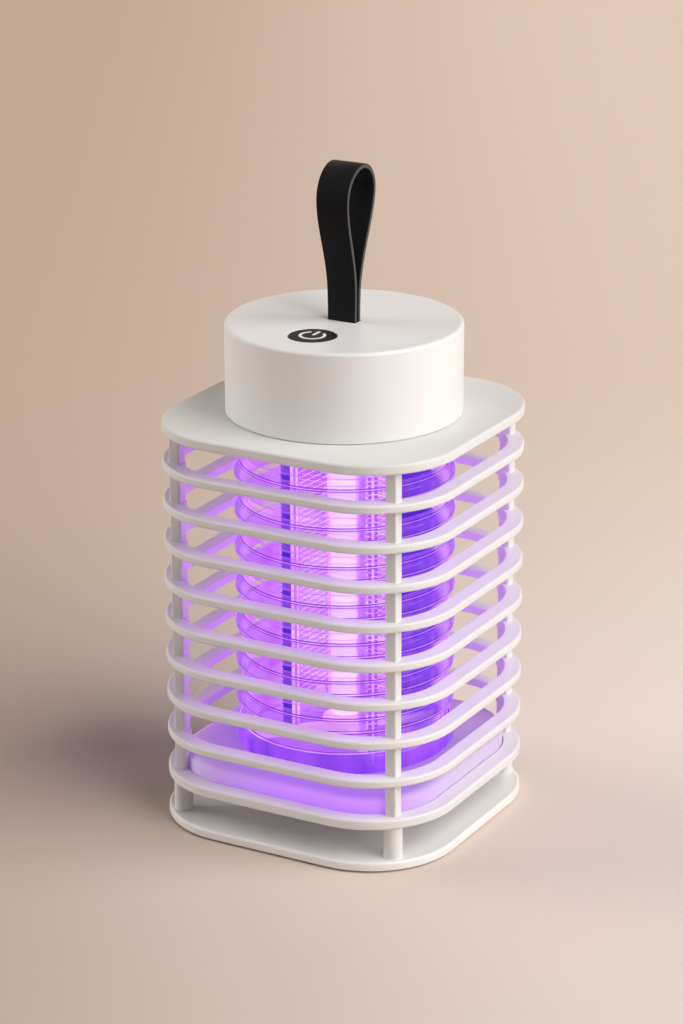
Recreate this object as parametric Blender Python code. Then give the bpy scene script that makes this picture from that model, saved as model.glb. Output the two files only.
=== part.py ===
"""Portable electric bug zapper: a square cage on a base, with a lamp unit that drops in from above.

Units are metres, +Z is up and -Y is the front, the side of the power button. The origin is the
middle of the base, on the surface that the rubber feet stand on.
"""
import math

import bmesh
import bpy
from mathutils import Matrix, Vector

# Clearances
FIT = 0.0003
LIFT_GAP = 0.0005

# Cage outline and levels, from the floor up
BODY_WIDTH = 0.100
CORNER_RADIUS = 0.0294
EDGE_CHAMFER = 0.0008
FOOT_PROUD = 0.0006
BASE_THICK = 0.0030
LEG_LENGTH = 0.0110
DECK_THICK = 0.0034
FIRST_WINDOW = 0.0107
RING_COUNT = 8
RING_PITCH = 0.01286
RING_THICK = 0.0028
RING_DEPTH = 0.0055
TOP_WINDOW = 0.0095
PLATE_THICK = 0.0034

# Legs, posts, feet and base screws; insets are from the sides of the cage
POST_INSET = 0.0115
POST_WIDTH = 0.0040
POST_EDGE_RADIUS = 0.0007
SPIGOT_RADIUS = 0.0012
SPIGOT_LENGTH = 0.0017
LEG_RADIUS = 0.0030
FOOT_INSET = 0.0200
FOOT_RADIUS = 0.0040
FOOT_SEAT_DEPTH = 0.0013
SCREW_RADIUS = 0.0012
SCREW_HEAD_RADIUS = 0.0023
SCREW_HEAD_HEIGHT = 0.0011
BASE_SCREW_BITE = 0.0066

# Tray on the ledge of the lower frame
LEDGE_WIDTH = 0.0040
LEDGE_THICK = 0.0012
TRAY_SIDE_GAP = 0.0005
TRAY_HEIGHT = 0.0075
TRAY_EDGE_RADIUS = 0.0024
DISH_DEPTH = 0.0050
DISH_LIP = 0.0007

# Guard, a banded clear tube that stands on the tray
GUARD_RADIUS = 0.0339
GUARD_WALL = 0.0017
BAND_PROUD = 0.0014
BAND_HEIGHT = 0.0079
BAND_PITCH = 0.01273
BAND_COUNT = 8
BAND_CHAMFER = 0.0005
GUARD_FOOT_HEIGHT = 0.0069
SLOT_HEIGHT = 0.0039
PILLAR_WIDTH = 0.0054

# Cap and the floor that closes it
CAP_RADIUS = 0.0376
CAP_HEIGHT = 0.0288
CAP_WALL = 0.0018
CAP_ROOF = 0.0020
CAP_FILLET = 0.0012
CAP_FOOT_CHAMFER = 0.0004
FLOOR_THICK = 0.0026
NECK_WALL = 0.0017
NECK_LENGTH = 0.0060
BOSS_RADIUS = 0.0028
BOSS_CIRCLE = 0.0263
BOSS_ANGLES = (0.0, 130.0, 230.0)
FLOOR_SCREW_BITE = 0.0060

# Button and its switch
BUTTON_RADIUS = 0.0075
BUTTON_DISTANCE = 0.0200
BUTTON_TRAVEL = 0.0006
BUTTON_FLANGE = 0.0011
BUTTON_FLANGE_THICK = 0.0012
BUTTON_STEM_RADIUS = 0.0020
SWITCH_WIDTH = 0.0060
SWITCH_HEIGHT = 0.0034
SWITCH_EDGE = 0.0004
PLUNGER_RADIUS = 0.0017
PLUNGER_HEIGHT = 0.0010

# Strap loop
STRAP_LEAF = 0.0019
STRAP_WIDTH_LOW = 0.0097
STRAP_WIDTH_HIGH = 0.0113
STRAP_NECK = 0.0058
STRAP_SHOULDER = 0.0377
STRAP_HEIGHT = 0.0477
STRAP_LOOP_WIDTH = 0.0184
STRAP_EASE_LOW = 0.38
STRAP_EASE_HIGH = 0.28
STRAP_LEAN = 0.0024
STRAP_TAIL_DEPTH = 0.0042
STRAP_TAIL_HEAD = 0.0018
STRAP_PIN_RADIUS = 0.0009
STRAP_PIN_OVERHANG = 0.0015

# Battery, board and what stands on the board
BATTERY_LENGTH = 0.0420
BATTERY_WIDTH = 0.0340
BATTERY_HEIGHT = 0.0095
BATTERY_EDGE = 0.0012
BOARD_WIDTH = 0.0240
BOARD_FRONT = 0.0290
BOARD_BACK = 0.0310
BOARD_THICK = 0.0016
BOARD_HEIGHT = 0.0130
STANDOFF_RADIUS = 0.0022
STANDOFF_INSET = 0.0025
SOCKET_WIDTH = 0.0090
SOCKET_HEIGHT = 0.0032
SOCKET_LENGTH = 0.0075
SOCKET_RECESS = 0.0008
SOCKET_SHELL = 0.00035
SOCKET_DEPTH = 0.0060
TONGUE_WIDTH = 0.0066
TONGUE_THICK = 0.0008
TRANSFORMER_SIZE = 0.0120
TRANSFORMER_HEIGHT = 0.0080
TRANSFORMER_BACK = 0.0120
TRANSFORMER_EDGE = 0.0012
CORE_WAIST = 0.0020
CAPACITOR_RADIUS = 0.0040
CAPACITOR_HEIGHT = 0.0078
CAPACITOR_PLACE = (-0.0072, -0.0075)

# Lamp, grid and their supports
TUBE_RADIUS = 0.0045
TUBE_CAP_RADIUS = 0.0050
TUBE_CAP_LENGTH = 0.0050
TUBE_CAP_BITE = 0.0043
HOLDER_RADIUS = 0.0075
HOLDER_LENGTH = 0.0085
HUB_RADIUS = 0.0075
HUB_HEIGHT = 0.0046
HUB_LIFT = 0.0012
HUB_FLOOR = 0.0010
ARM_WIDTH = 0.0030
ARM_HEIGHT = 0.0030
GRID_RADIUS = 0.0147
GRID_WIRE_RADIUS = 0.0006
GRID_LOOPS = 10
GRID_POINTS_PER_LOOP = 12
GRID_END_MARGIN = 0.0060
COMB_THICK = 0.0016
COMB_REACH = 0.0215
WIDE_COMB_GAP = 0.0029
LEAD_RADIUS = 0.0007
LEAD_BEND = 0.0020
LEAD_ROW = 0.0220
LEAD_SPREAD = 0.0073
BATTERY_LEAD_BOW = 0.0014
BATTERY_LEAD_PLACE = 0.0080

# Smoothness of round shapes
LARGE_ROUND = 40
GUARD_ROUND = 24
MEDIUM_ROUND = 16
SMALL_ROUND = 10
CORNER_STEPS = 5
EDGE_STEPS = 2
ARC_STEPS = 3
WIRE_BEVEL_STEPS = 1
LEAD_POINTS = 10

# Levels and places that follow from the sizes above
BASE_BOTTOM = FOOT_PROUD
BASE_TOP = BASE_BOTTOM + BASE_THICK
DECK_BOTTOM = BASE_TOP + LEG_LENGTH
DECK_TOP = DECK_BOTTOM + DECK_THICK
FIRST_RING = DECK_TOP + FIRST_WINDOW
PLATE_BOTTOM = FIRST_RING + (RING_COUNT - 1) * RING_PITCH + RING_THICK + TOP_WINDOW
PLATE_TOP = PLATE_BOTTOM + PLATE_THICK
CAP_BOTTOM = PLATE_TOP + FIT
CAP_TOP = CAP_BOTTOM + CAP_HEIGHT
CEILING = CAP_TOP - CAP_ROOF
FLOOR_TOP = CAP_BOTTOM + FLOOR_THICK
HALF = BODY_WIDTH / 2
CORNER_CENTRE = HALF - CORNER_RADIUS
RING_INSIDE = HALF - RING_DEPTH
POST_OFFSET = HALF - POST_INSET
FOOT_OFFSET = HALF - FOOT_INSET
CAP_INSIDE = CAP_RADIUS - CAP_WALL
TRAY_BOTTOM = DECK_BOTTOM + LEDGE_THICK + FIT
TRAY_TOP = TRAY_BOTTOM + TRAY_HEIGHT
GUARD_BOTTOM = TRAY_TOP + FIT
GUARD_TOP = CAP_BOTTOM - FIT
GUARD_INSIDE = GUARD_RADIUS - GUARD_WALL
BAND_RADIUS = GUARD_RADIUS + BAND_PROUD
POST_INNER_EDGE = (POST_OFFSET - POST_WIDTH / 2 + POST_EDGE_RADIUS) * math.sqrt(2) - POST_EDGE_RADIUS
CLEAR_OF_POSTS = POST_INNER_EDGE - CORNER_CENTRE * (math.sqrt(2) - 1)
TRAY_HALF = min(RING_INSIDE, CLEAR_OF_POSTS) - TRAY_SIDE_GAP
PLATE_HOLE = BAND_RADIUS + LIFT_GAP
HUB_BOTTOM = GUARD_BOTTOM + HUB_LIFT
HUB_TOP = HUB_BOTTOM + HUB_HEIGHT
HOLDER_TOP = CAP_BOTTOM - FIT
HOLDER_BOTTOM = HOLDER_TOP - HOLDER_LENGTH
NECK_RADIUS = GUARD_INSIDE - FIT
GRID_BOTTOM = HUB_TOP + GRID_END_MARGIN
GRID_TOP = HOLDER_BOTTOM
COMB_INNER = GRID_RADIUS + GRID_WIRE_RADIUS + FIT
BOARD_BOTTOM = FLOOR_TOP + BOARD_HEIGHT
BOARD_TOP = BOARD_BOTTOM + BOARD_THICK
ON_BOARD = BOARD_TOP + FIT
SWITCH_TOP = ON_BOARD + SWITCH_HEIGHT + PLUNGER_HEIGHT
STRAP_AXIS = CAP_TOP + FIT + STRAP_LEAF
CORNERS = {"front_left": (-1, -1), "front_right": (1, -1), "back_right": (1, 1), "back_left": (-1, 1)}

# Finishes: colour, roughness and metallic value
FINISHES = {
    "white_plastic": ((0.86, 0.84, 0.82), 0.45, 0.0),
    "clear_guard": ((0.45, 0.22, 0.85), 0.15, 0.0),
    "violet_comb": ((0.20, 0.08, 0.60), 0.35, 0.0),
    "tube_glass": ((0.90, 0.72, 0.98), 0.20, 0.0),
    "black_plastic": ((0.02, 0.02, 0.02), 0.40, 0.0),
    "black_strap": ((0.02, 0.02, 0.02), 0.60, 0.0),
    "black_rubber": ((0.04, 0.04, 0.04), 0.80, 0.0),
    "steel": ((0.62, 0.62, 0.64), 0.35, 1.0),
    "board_green": ((0.03, 0.22, 0.10), 0.50, 0.0),
    "cell_wrap": ((0.10, 0.20, 0.45), 0.50, 0.0),
    "ceramic_white": ((0.80, 0.79, 0.76), 0.55, 0.0),
    "lead_red": ((0.60, 0.05, 0.04), 0.55, 0.0),
}


def clear_scene():
    """Removes whatever the file holds, so that the model starts alone."""
    for old in list(bpy.data.objects):
        bpy.data.objects.remove(old, do_unlink=True)


def finish_material(name):
    """The Principled material of one finish, made on first use."""
    material = bpy.data.materials.get(name)
    if material is None:
        colour, roughness, metallic = FINISHES[name]
        material = bpy.data.materials.new(name)
        material.use_nodes = True
        shader = material.node_tree.nodes["Principled BSDF"]
        shader.inputs["Base Color"].default_value = (*colour, 1.0)
        shader.inputs["Roughness"].default_value = roughness
        shader.inputs["Metallic"].default_value = metallic
    return material


def add_object(name, data, finish, location=(0, 0, 0), carrier=None):
    """Puts mesh or curve data in the scene as a named piece with its finish."""
    piece = bpy.data.objects.new(name, data)
    bpy.context.scene.collection.objects.link(piece)
    piece.location = location
    if finish and not data.materials:
        data.materials.append(finish_material(finish))
    if carrier:
        piece.parent = carrier
        piece.matrix_parent_inverse = Matrix.Translation(carrier.location).inverted()
    return piece


def joint_axis(name, location):
    """An empty on a joint's axis, which carries the pieces that move with it."""
    axis = bpy.data.objects.new(name, None)
    bpy.context.scene.collection.objects.link(axis)
    axis.location = location
    return axis


def circle_loop(radius, height, steps, centre=(0.0, 0.0)):
    """Points of a circle about the Z axis through centre."""
    angles = [2 * math.pi * step / steps for step in range(steps)]
    return [(centre[0] + radius * math.cos(a), centre[1] + radius * math.sin(a), height) for a in angles]


def rounded_loop(half_x, half_y, radius, height, steps, centre=(0.0, 0.0)):
    """Points of a rectangle with round corners, counter-clockwise."""
    points = []
    for quarter, (side_x, side_y) in enumerate(((1, 1), (-1, 1), (-1, -1), (1, -1))):
        for step in range(steps + 1):
            angle = math.pi / 2 * (quarter + step / steps)
            x = centre[0] + side_x * (half_x - radius) + radius * math.cos(angle)
            y = centre[1] + side_y * (half_y - radius) + radius * math.sin(angle)
            points.append((x, y, height))
    return points


def circle_inside(loop, radius, height, centre=(0.0, 0.0)):
    """A circle with one point towards each point of another loop."""
    points = []
    for x, y, z in loop:
        way = Vector((x - centre[0], y - centre[1])).normalized() * radius
        points.append((centre[0] + way.x, centre[1] + way.y, height))
    return points


def cage_loop(half, height):
    """The cage's outline at a given half width; all such outlines share their corner centres."""
    return rounded_loop(half, half, half - CORNER_CENTRE, height, CORNER_STEPS)


def loft_mesh(name, loops, ring=False, smooth_angle=40.0):
    """A closed mesh through loops of points: a ring through all of them, or capped at both ends."""
    shape = bmesh.new()
    rows = [[shape.verts.new(point) for point in loop] for loop in loops]
    pairs = list(zip(rows, rows[1:]))
    if ring:
        pairs.append((rows[-1], rows[0]))
    for low, high in pairs:
        for i in range(len(low)):
            j = (i + 1) % len(low)
            shape.faces.new((low[i], low[j], high[j], high[i]))
    if not ring:
        shape.faces.new(rows[0])
        shape.faces.new(rows[-1])
    bmesh.ops.recalc_face_normals(shape, faces=shape.faces)
    mesh = bpy.data.meshes.new(name)
    shape.to_mesh(mesh)
    shape.free()
    mesh.shade_smooth()
    mesh.set_sharp_from_angle(angle=math.radians(smooth_angle))
    return mesh


def turned_mesh(name, profile, steps, centre=(0.0, 0.0), ring=False):
    """A turned piece: profile holds radius and height along its outline."""
    return loft_mesh(name, [circle_loop(r, z, steps, centre) for r, z in profile], ring)


def block_mesh(name, low, high, edge=0.0):
    """A box between two corners, with its edges bevelled by edge."""
    shape = bmesh.new()
    bmesh.ops.create_cube(shape, size=1.0)
    size = Vector(high) - Vector(low)
    middle = (Vector(high) + Vector(low)) / 2
    bmesh.ops.transform(shape, matrix=Matrix.Translation(middle) @ Matrix.Diagonal((*size, 1.0)),
                        verts=shape.verts)
    if edge:
        bmesh.ops.bevel(shape, geom=shape.edges[:], offset=edge, segments=1, affect="EDGES")
    mesh = bpy.data.meshes.new(name)
    shape.to_mesh(mesh)
    shape.free()
    return mesh


def merged_mesh(name, meshes):
    """Several separate bodies in one mesh, for use as one cutter or one addition."""
    shape = bmesh.new()
    for mesh in meshes:
        shape.from_mesh(mesh)
    merged = bpy.data.meshes.new(name)
    shape.to_mesh(merged)
    shape.free()
    for mesh in meshes:
        bpy.data.meshes.remove(mesh)
    return merged


def shape_with(piece, mesh, operation):
    """Cuts a hidden shape out of a piece, or adds it to the piece, with a Boolean modifier."""
    helper = bpy.data.objects.get(mesh.name)
    if helper is None:
        helper = bpy.data.objects.new(mesh.name, mesh)
        bpy.context.scene.collection.objects.link(helper)
        helper.hide_render = True
        helper.display_type = "WIRE"
    modifier = piece.modifiers.new(mesh.name, "BOOLEAN")
    modifier.operation = operation
    modifier.object = helper
    modifier.solver = "EXACT"


def tube_curve(name, points, radius):
    """A round wire along points, with filled ends."""
    curve = bpy.data.curves.new(name, "CURVE")
    curve.dimensions = "3D"
    curve.bevel_depth = radius
    curve.bevel_resolution = WIRE_BEVEL_STEPS
    curve.use_fill_caps = True
    spline = curve.splines.new("POLY")
    spline.points.add(len(points) - 1)
    for place, point in zip(spline.points, points):
        place.co = (*point, 1.0)
    return curve


def smooth_route(corners, count):
    """Evenly stepped points on a smooth curve through a few corners."""
    points = []
    spans = len(corners) - 1
    ghost = [2 * corners[0] - corners[1], *corners, 2 * corners[-1] - corners[-2]]
    for step in range(count + 1):
        along = step / count * spans
        span = min(int(along), spans - 1)
        t = along - span
        a, b, c, d = ghost[span:span + 4]
        bend = 2 * b + (c - a) * t + (2 * a - 5 * b + 4 * c - d) * t * t
        points.append((bend + (3 * b - a - 3 * c + d) * t ** 3) / 2)
    return points


def corner_place(corner, offset):
    """The place on a corner's diagonal, offset along both X and Y."""
    return CORNERS[corner][0] * offset, CORNERS[corner][1] * offset


def plate_profile(half, bottom, top, chamfer):
    """Half widths and heights up the outside of a plate with chamfered edges."""
    return [(half - chamfer, bottom), (half, bottom + chamfer), (half, top - chamfer), (half - chamfer, top)]


def screw_mesh(name, head_low, tip):
    """A round-headed screw pointing up from head_low to tip."""
    head_top = head_low + SCREW_HEAD_HEIGHT
    profile = [(SCREW_HEAD_RADIUS, head_low), (SCREW_HEAD_RADIUS, head_top), (SCREW_RADIUS, head_top),
               (SCREW_RADIUS, tip)]
    return turned_mesh(name, profile, SMALL_ROUND)


def make_base():
    """Base plate with its rubber feet and screws."""
    outline = plate_profile(HALF, BASE_BOTTOM, BASE_TOP, EDGE_CHAMFER)
    plate_mesh = loft_mesh("base_plate", [cage_loop(half, z) for half, z in outline])
    plate = add_object("base_plate", plate_mesh, "white_plastic")
    below = BASE_BOTTOM - BASE_THICK
    head_seat = BASE_BOTTOM + SCREW_HEAD_HEIGHT + 2 * FIT
    pockets = []
    for corner in CORNERS:
        foot = corner_place(corner, FOOT_OFFSET)
        pocket_roof = BASE_BOTTOM + FOOT_SEAT_DEPTH + FIT
        pocket = [(FOOT_RADIUS + FIT, below), (FOOT_RADIUS + FIT, pocket_roof)]
        pockets.append(turned_mesh("foot_pocket", pocket, MEDIUM_ROUND, foot))
        screw = corner_place(corner, POST_OFFSET)
        bore = [(SCREW_HEAD_RADIUS + FIT, below), (SCREW_HEAD_RADIUS + FIT, head_seat),
                (SCREW_RADIUS + FIT, head_seat), (SCREW_RADIUS + FIT, BASE_TOP + BASE_THICK)]
        pockets.append(turned_mesh("screw_bore", bore, SMALL_ROUND, screw))
    shape_with(plate, merged_mesh("base_pockets", pockets), "DIFFERENCE")
    foot_profile = [(FOOT_RADIUS - EDGE_CHAMFER / 2, 0), (FOOT_RADIUS, EDGE_CHAMFER / 2),
                    (FOOT_RADIUS, BASE_BOTTOM + FOOT_SEAT_DEPTH)]
    foot_mesh = turned_mesh("rubber_foot", foot_profile, MEDIUM_ROUND)
    base_screw_mesh = screw_mesh("base_screw", BASE_BOTTOM + FIT, BASE_TOP + BASE_SCREW_BITE)
    for corner in CORNERS:
        foot_place = (*corner_place(corner, FOOT_OFFSET), 0)
        add_object("rubber_foot_" + corner, foot_mesh, "black_rubber", foot_place)
        screw_place = (*corner_place(corner, POST_OFFSET), 0)
        add_object("base_screw_" + corner, base_screw_mesh, "steel", screw_place)


def make_lower_frame():
    """Lowest ring with its inner ledge and its four round legs, one moulding."""
    profile = plate_profile(HALF, DECK_BOTTOM, DECK_TOP, EDGE_CHAMFER)
    ledge_top = DECK_BOTTOM + LEDGE_THICK
    ledge_inside = RING_INSIDE - LEDGE_WIDTH
    profile += [(RING_INSIDE, DECK_TOP), (RING_INSIDE, ledge_top), (ledge_inside, ledge_top),
                (ledge_inside, DECK_BOTTOM)]
    frame_mesh = loft_mesh("lower_frame", [cage_loop(half, z) for half, z in profile], ring=True)
    frame = add_object("lower_frame", frame_mesh, "white_plastic")
    leg_profile = [(LEG_RADIUS, BASE_TOP + FIT), (LEG_RADIUS, DECK_BOTTOM + LEDGE_THICK / 2)]
    pilot_top = BASE_TOP + BASE_SCREW_BITE + FIT
    pilot = [(SCREW_RADIUS + FIT, BASE_BOTTOM), (SCREW_RADIUS + FIT, pilot_top)]
    socket = [(SPIGOT_RADIUS + FIT, DECK_TOP - SPIGOT_LENGTH), (SPIGOT_RADIUS + FIT, DECK_TOP + DECK_THICK)]
    legs = []
    holes = []
    for corner in CORNERS:
        place = corner_place(corner, POST_OFFSET)
        legs.append(turned_mesh("leg", leg_profile, MEDIUM_ROUND, place))
        holes.append(turned_mesh("pilot_hole", pilot, SMALL_ROUND, place))
        holes.append(turned_mesh("spigot_socket", socket, SMALL_ROUND, place))
    shape_with(frame, merged_mesh("frame_legs", legs), "UNION")
    shape_with(frame, merged_mesh("frame_holes", holes), "DIFFERENCE")


def make_tray():
    """Insect tray: a rounded-square block with a round dish under the guard."""
    profile = [(TRAY_HALF, TRAY_BOTTOM)]
    for step in range(ARC_STEPS + 1):
        angle = math.pi / 2 * step / ARC_STEPS
        inset = TRAY_EDGE_RADIUS * (1 - math.cos(angle))
        profile.append((TRAY_HALF - inset, TRAY_TOP - TRAY_EDGE_RADIUS * (1 - math.sin(angle))))
    tray_mesh = loft_mesh("tray", [cage_loop(width, z) for width, z in profile])
    tray = add_object("tray", tray_mesh, "white_plastic")
    dish_radius = GUARD_INSIDE - DISH_LIP
    dish = [(dish_radius - DISH_DEPTH, TRAY_TOP - DISH_DEPTH), (dish_radius, TRAY_TOP - DISH_DEPTH / 2),
            (dish_radius, TRAY_TOP + DISH_DEPTH)]
    shape_with(tray, turned_mesh("tray_dish", dish, LARGE_ROUND), "DIFFERENCE")


def make_cage(carrier):
    """Corner posts, rings and top plate, which lift off the base together."""
    half = POST_WIDTH / 2
    post_bottom = DECK_TOP + FIT
    post_top = PLATE_BOTTOM - FIT
    low, high = [rounded_loop(half, half, POST_EDGE_RADIUS, z, EDGE_STEPS) for z in (post_bottom, post_top)]
    post_loops = [circle_inside(low, SPIGOT_RADIUS, post_bottom - SPIGOT_LENGTH),
                  circle_inside(low, SPIGOT_RADIUS, post_bottom), low, high,
                  circle_inside(high, SPIGOT_RADIUS, post_top),
                  circle_inside(high, SPIGOT_RADIUS, post_top + SPIGOT_LENGTH)]
    post_mesh = loft_mesh("cage_post", post_loops)
    notches = []
    sockets = []
    socket_roof = PLATE_BOTTOM + SPIGOT_LENGTH
    for corner in CORNERS:
        place = corner_place(corner, POST_OFFSET)
        add_object("cage_post_" + corner, post_mesh, "white_plastic", (*place, 0), carrier)
        outline = [rounded_loop(half + FIT, half + FIT, POST_EDGE_RADIUS + FIT, z, EDGE_STEPS, place)
                   for z in (DECK_BOTTOM, PLATE_TOP)]
        notches.append(loft_mesh("post_notch", outline))
        socket = [(SPIGOT_RADIUS + FIT, DECK_BOTTOM), (SPIGOT_RADIUS + FIT, socket_roof)]
        sockets.append(turned_mesh("post_socket", socket, SMALL_ROUND, place))
    notch_mesh = merged_mesh("post_notches", notches)
    ring_profile = plate_profile(HALF, 0, RING_THICK, EDGE_CHAMFER)
    ring_profile += [(RING_INSIDE, RING_THICK), (RING_INSIDE, 0)]
    ring_mesh = loft_mesh("ring", [cage_loop(width, z) for width, z in ring_profile], ring=True)
    for number in range(RING_COUNT):
        height = FIRST_RING + number * RING_PITCH
        ring = add_object(f"ring_{number + 1}", ring_mesh, "white_plastic", (0, 0, height), carrier)
        shape_with(ring, notch_mesh, "DIFFERENCE")
    outline = plate_profile(HALF, PLATE_BOTTOM, PLATE_TOP, EDGE_CHAMFER)
    plate_mesh = loft_mesh("top_plate", [cage_loop(width, z) for width, z in outline])
    plate = add_object("top_plate", plate_mesh, "white_plastic", carrier=carrier)
    hole = [(PLATE_HOLE, PLATE_BOTTOM - PLATE_THICK), (PLATE_HOLE, PLATE_TOP + PLATE_THICK)]
    sockets.append(turned_mesh("plate_hole", hole, LARGE_ROUND))
    shape_with(plate, merged_mesh("plate_holes", sockets), "DIFFERENCE")


def make_cap(carrier):
    """Cap shell with its screw bosses, button hole, strap slot and socket window."""
    profile = [(CAP_INSIDE, CEILING), (CAP_INSIDE, CAP_BOTTOM), (CAP_RADIUS - CAP_FOOT_CHAMFER, CAP_BOTTOM),
               (CAP_RADIUS, CAP_BOTTOM + CAP_FOOT_CHAMFER)]
    for step in range(ARC_STEPS + 1):
        angle = math.pi / 2 * step / ARC_STEPS
        inset = CAP_FILLET * (1 - math.cos(angle))
        profile.append((CAP_RADIUS - inset, CAP_TOP - CAP_FILLET * (1 - math.sin(angle))))
    cap = add_object("cap", turned_mesh("cap", profile, LARGE_ROUND), "white_plastic", carrier=carrier)
    boss_profile = [(BOSS_RADIUS, FLOOR_TOP + FIT), (BOSS_RADIUS, CEILING + CAP_ROOF / 2)]
    pilot_top = FLOOR_TOP + FLOOR_SCREW_BITE + FIT
    pilot = [(SCREW_RADIUS + FIT, CAP_BOTTOM), (SCREW_RADIUS + FIT, pilot_top)]
    places = [boss_place(angle) for angle in BOSS_ANGLES]
    bosses = [turned_mesh("boss", boss_profile, SMALL_ROUND, place) for place in places]
    cuts = [turned_mesh("boss_pilot", pilot, SMALL_ROUND, place) for place in places]
    over = CAP_TOP + CAP_ROOF
    under = CEILING - CAP_ROOF / 2
    button_hole = [(BUTTON_RADIUS + FIT, under), (BUTTON_RADIUS + FIT, over)]
    cuts.append(turned_mesh("button_hole", button_hole, MEDIUM_ROUND, (0, -BUTTON_DISTANCE)))
    slot_x = STRAP_WIDTH_LOW / 2 + FIT
    slot_y = STRAP_LEAF + FIT
    cuts.append(block_mesh("strap_slot", (-slot_x, -slot_y, under), (slot_x, slot_y, over)))
    window_x = SOCKET_WIDTH / 2 + FIT
    window_low = (-window_x, CAP_INSIDE - 2 * CAP_WALL, ON_BOARD - FIT)
    window_high = (window_x, CAP_RADIUS + CAP_WALL, ON_BOARD + SOCKET_HEIGHT + FIT)
    cuts.append(block_mesh("socket_window", window_low, window_high))
    shape_with(cap, merged_mesh("cap_bosses", bosses), "UNION")
    shape_with(cap, merged_mesh("cap_cuts", cuts), "DIFFERENCE")


def boss_place(angle):
    """The place of a cap boss on its circle."""
    return BOSS_CIRCLE * math.cos(math.radians(angle)), BOSS_CIRCLE * math.sin(math.radians(angle))


def lead_holes():
    """Where the lamp lead and the two grid leads pass through the floor."""
    return {"lamp_lead": (0.0, LEAD_ROW), "grid_lead_a": (LEAD_SPREAD, LEAD_ROW),
            "grid_lead_b": (-LEAD_SPREAD, -LEAD_ROW)}


def make_floor(carrier):
    """Floor that closes the cap, with the neck that holds the guard and the board's standoffs."""
    neck_bottom = CAP_BOTTOM - NECK_LENGTH
    neck_inside = NECK_RADIUS - NECK_WALL
    rim = CAP_INSIDE - FIT
    profile = [(neck_inside, CAP_BOTTOM), (neck_inside, neck_bottom), (NECK_RADIUS, neck_bottom),
               (NECK_RADIUS, CAP_BOTTOM), (rim, CAP_BOTTOM), (rim, FLOOR_TOP)]
    floor_mesh = turned_mesh("head_floor", profile, LARGE_ROUND)
    floor = add_object("head_floor", floor_mesh, "white_plastic", carrier=carrier)
    standoff = [(STANDOFF_RADIUS, CAP_BOTTOM + FLOOR_THICK / 2), (STANDOFF_RADIUS, BOARD_BOTTOM - FIT)]
    standoffs = []
    for side in (-1, 1):
        for end in (-BOARD_FRONT + STANDOFF_INSET, BOARD_BACK - STANDOFF_INSET):
            place = (side * (BOARD_WIDTH / 2 - STANDOFF_INSET), end)
            standoffs.append(turned_mesh("standoff", standoff, SMALL_ROUND, place))
    shape_with(floor, merged_mesh("board_standoffs", standoffs), "UNION")
    below = neck_bottom - FLOOR_THICK
    over = FLOOR_TOP + FLOOR_THICK
    head_low = CAP_BOTTOM + FIT
    head_seat = head_low + SCREW_HEAD_HEIGHT + FIT
    bore = [(SCREW_HEAD_RADIUS + FIT, below), (SCREW_HEAD_RADIUS + FIT, head_seat),
            (SCREW_RADIUS + FIT, head_seat), (SCREW_RADIUS + FIT, over)]
    holes = [turned_mesh("floor_bore", bore, SMALL_ROUND, boss_place(angle)) for angle in BOSS_ANGLES]
    lead_bore = [(2 * LEAD_RADIUS + FIT, below), (2 * LEAD_RADIUS + FIT, over)]
    holes += [turned_mesh("lead_bore", lead_bore, SMALL_ROUND, place) for place in lead_holes().values()]
    shape_with(floor, merged_mesh("floor_holes", holes), "DIFFERENCE")
    floor_screw_mesh = screw_mesh("floor_screw", head_low, FLOOR_TOP + FLOOR_SCREW_BITE)
    for number, angle in enumerate(BOSS_ANGLES):
        add_object(f"floor_screw_{number + 1}", floor_screw_mesh, "steel", (*boss_place(angle), 0), carrier)
    ring_middle = (GUARD_RADIUS + PLATE_HOLE) / 2
    section = (PLATE_HOLE - GUARD_RADIUS) / 2 - FIT
    level = (PLATE_BOTTOM + PLATE_TOP) / 2
    section_loop = [(ring_middle + section * math.cos(a), level + section * math.sin(a))
                    for a in (2 * math.pi * step / SMALL_ROUND for step in range(0, SMALL_ROUND, 2))]
    ring_mesh = turned_mesh("friction_ring", section_loop, GUARD_ROUND, ring=True)
    add_object("friction_ring", ring_mesh, "black_rubber", carrier=carrier)


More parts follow.
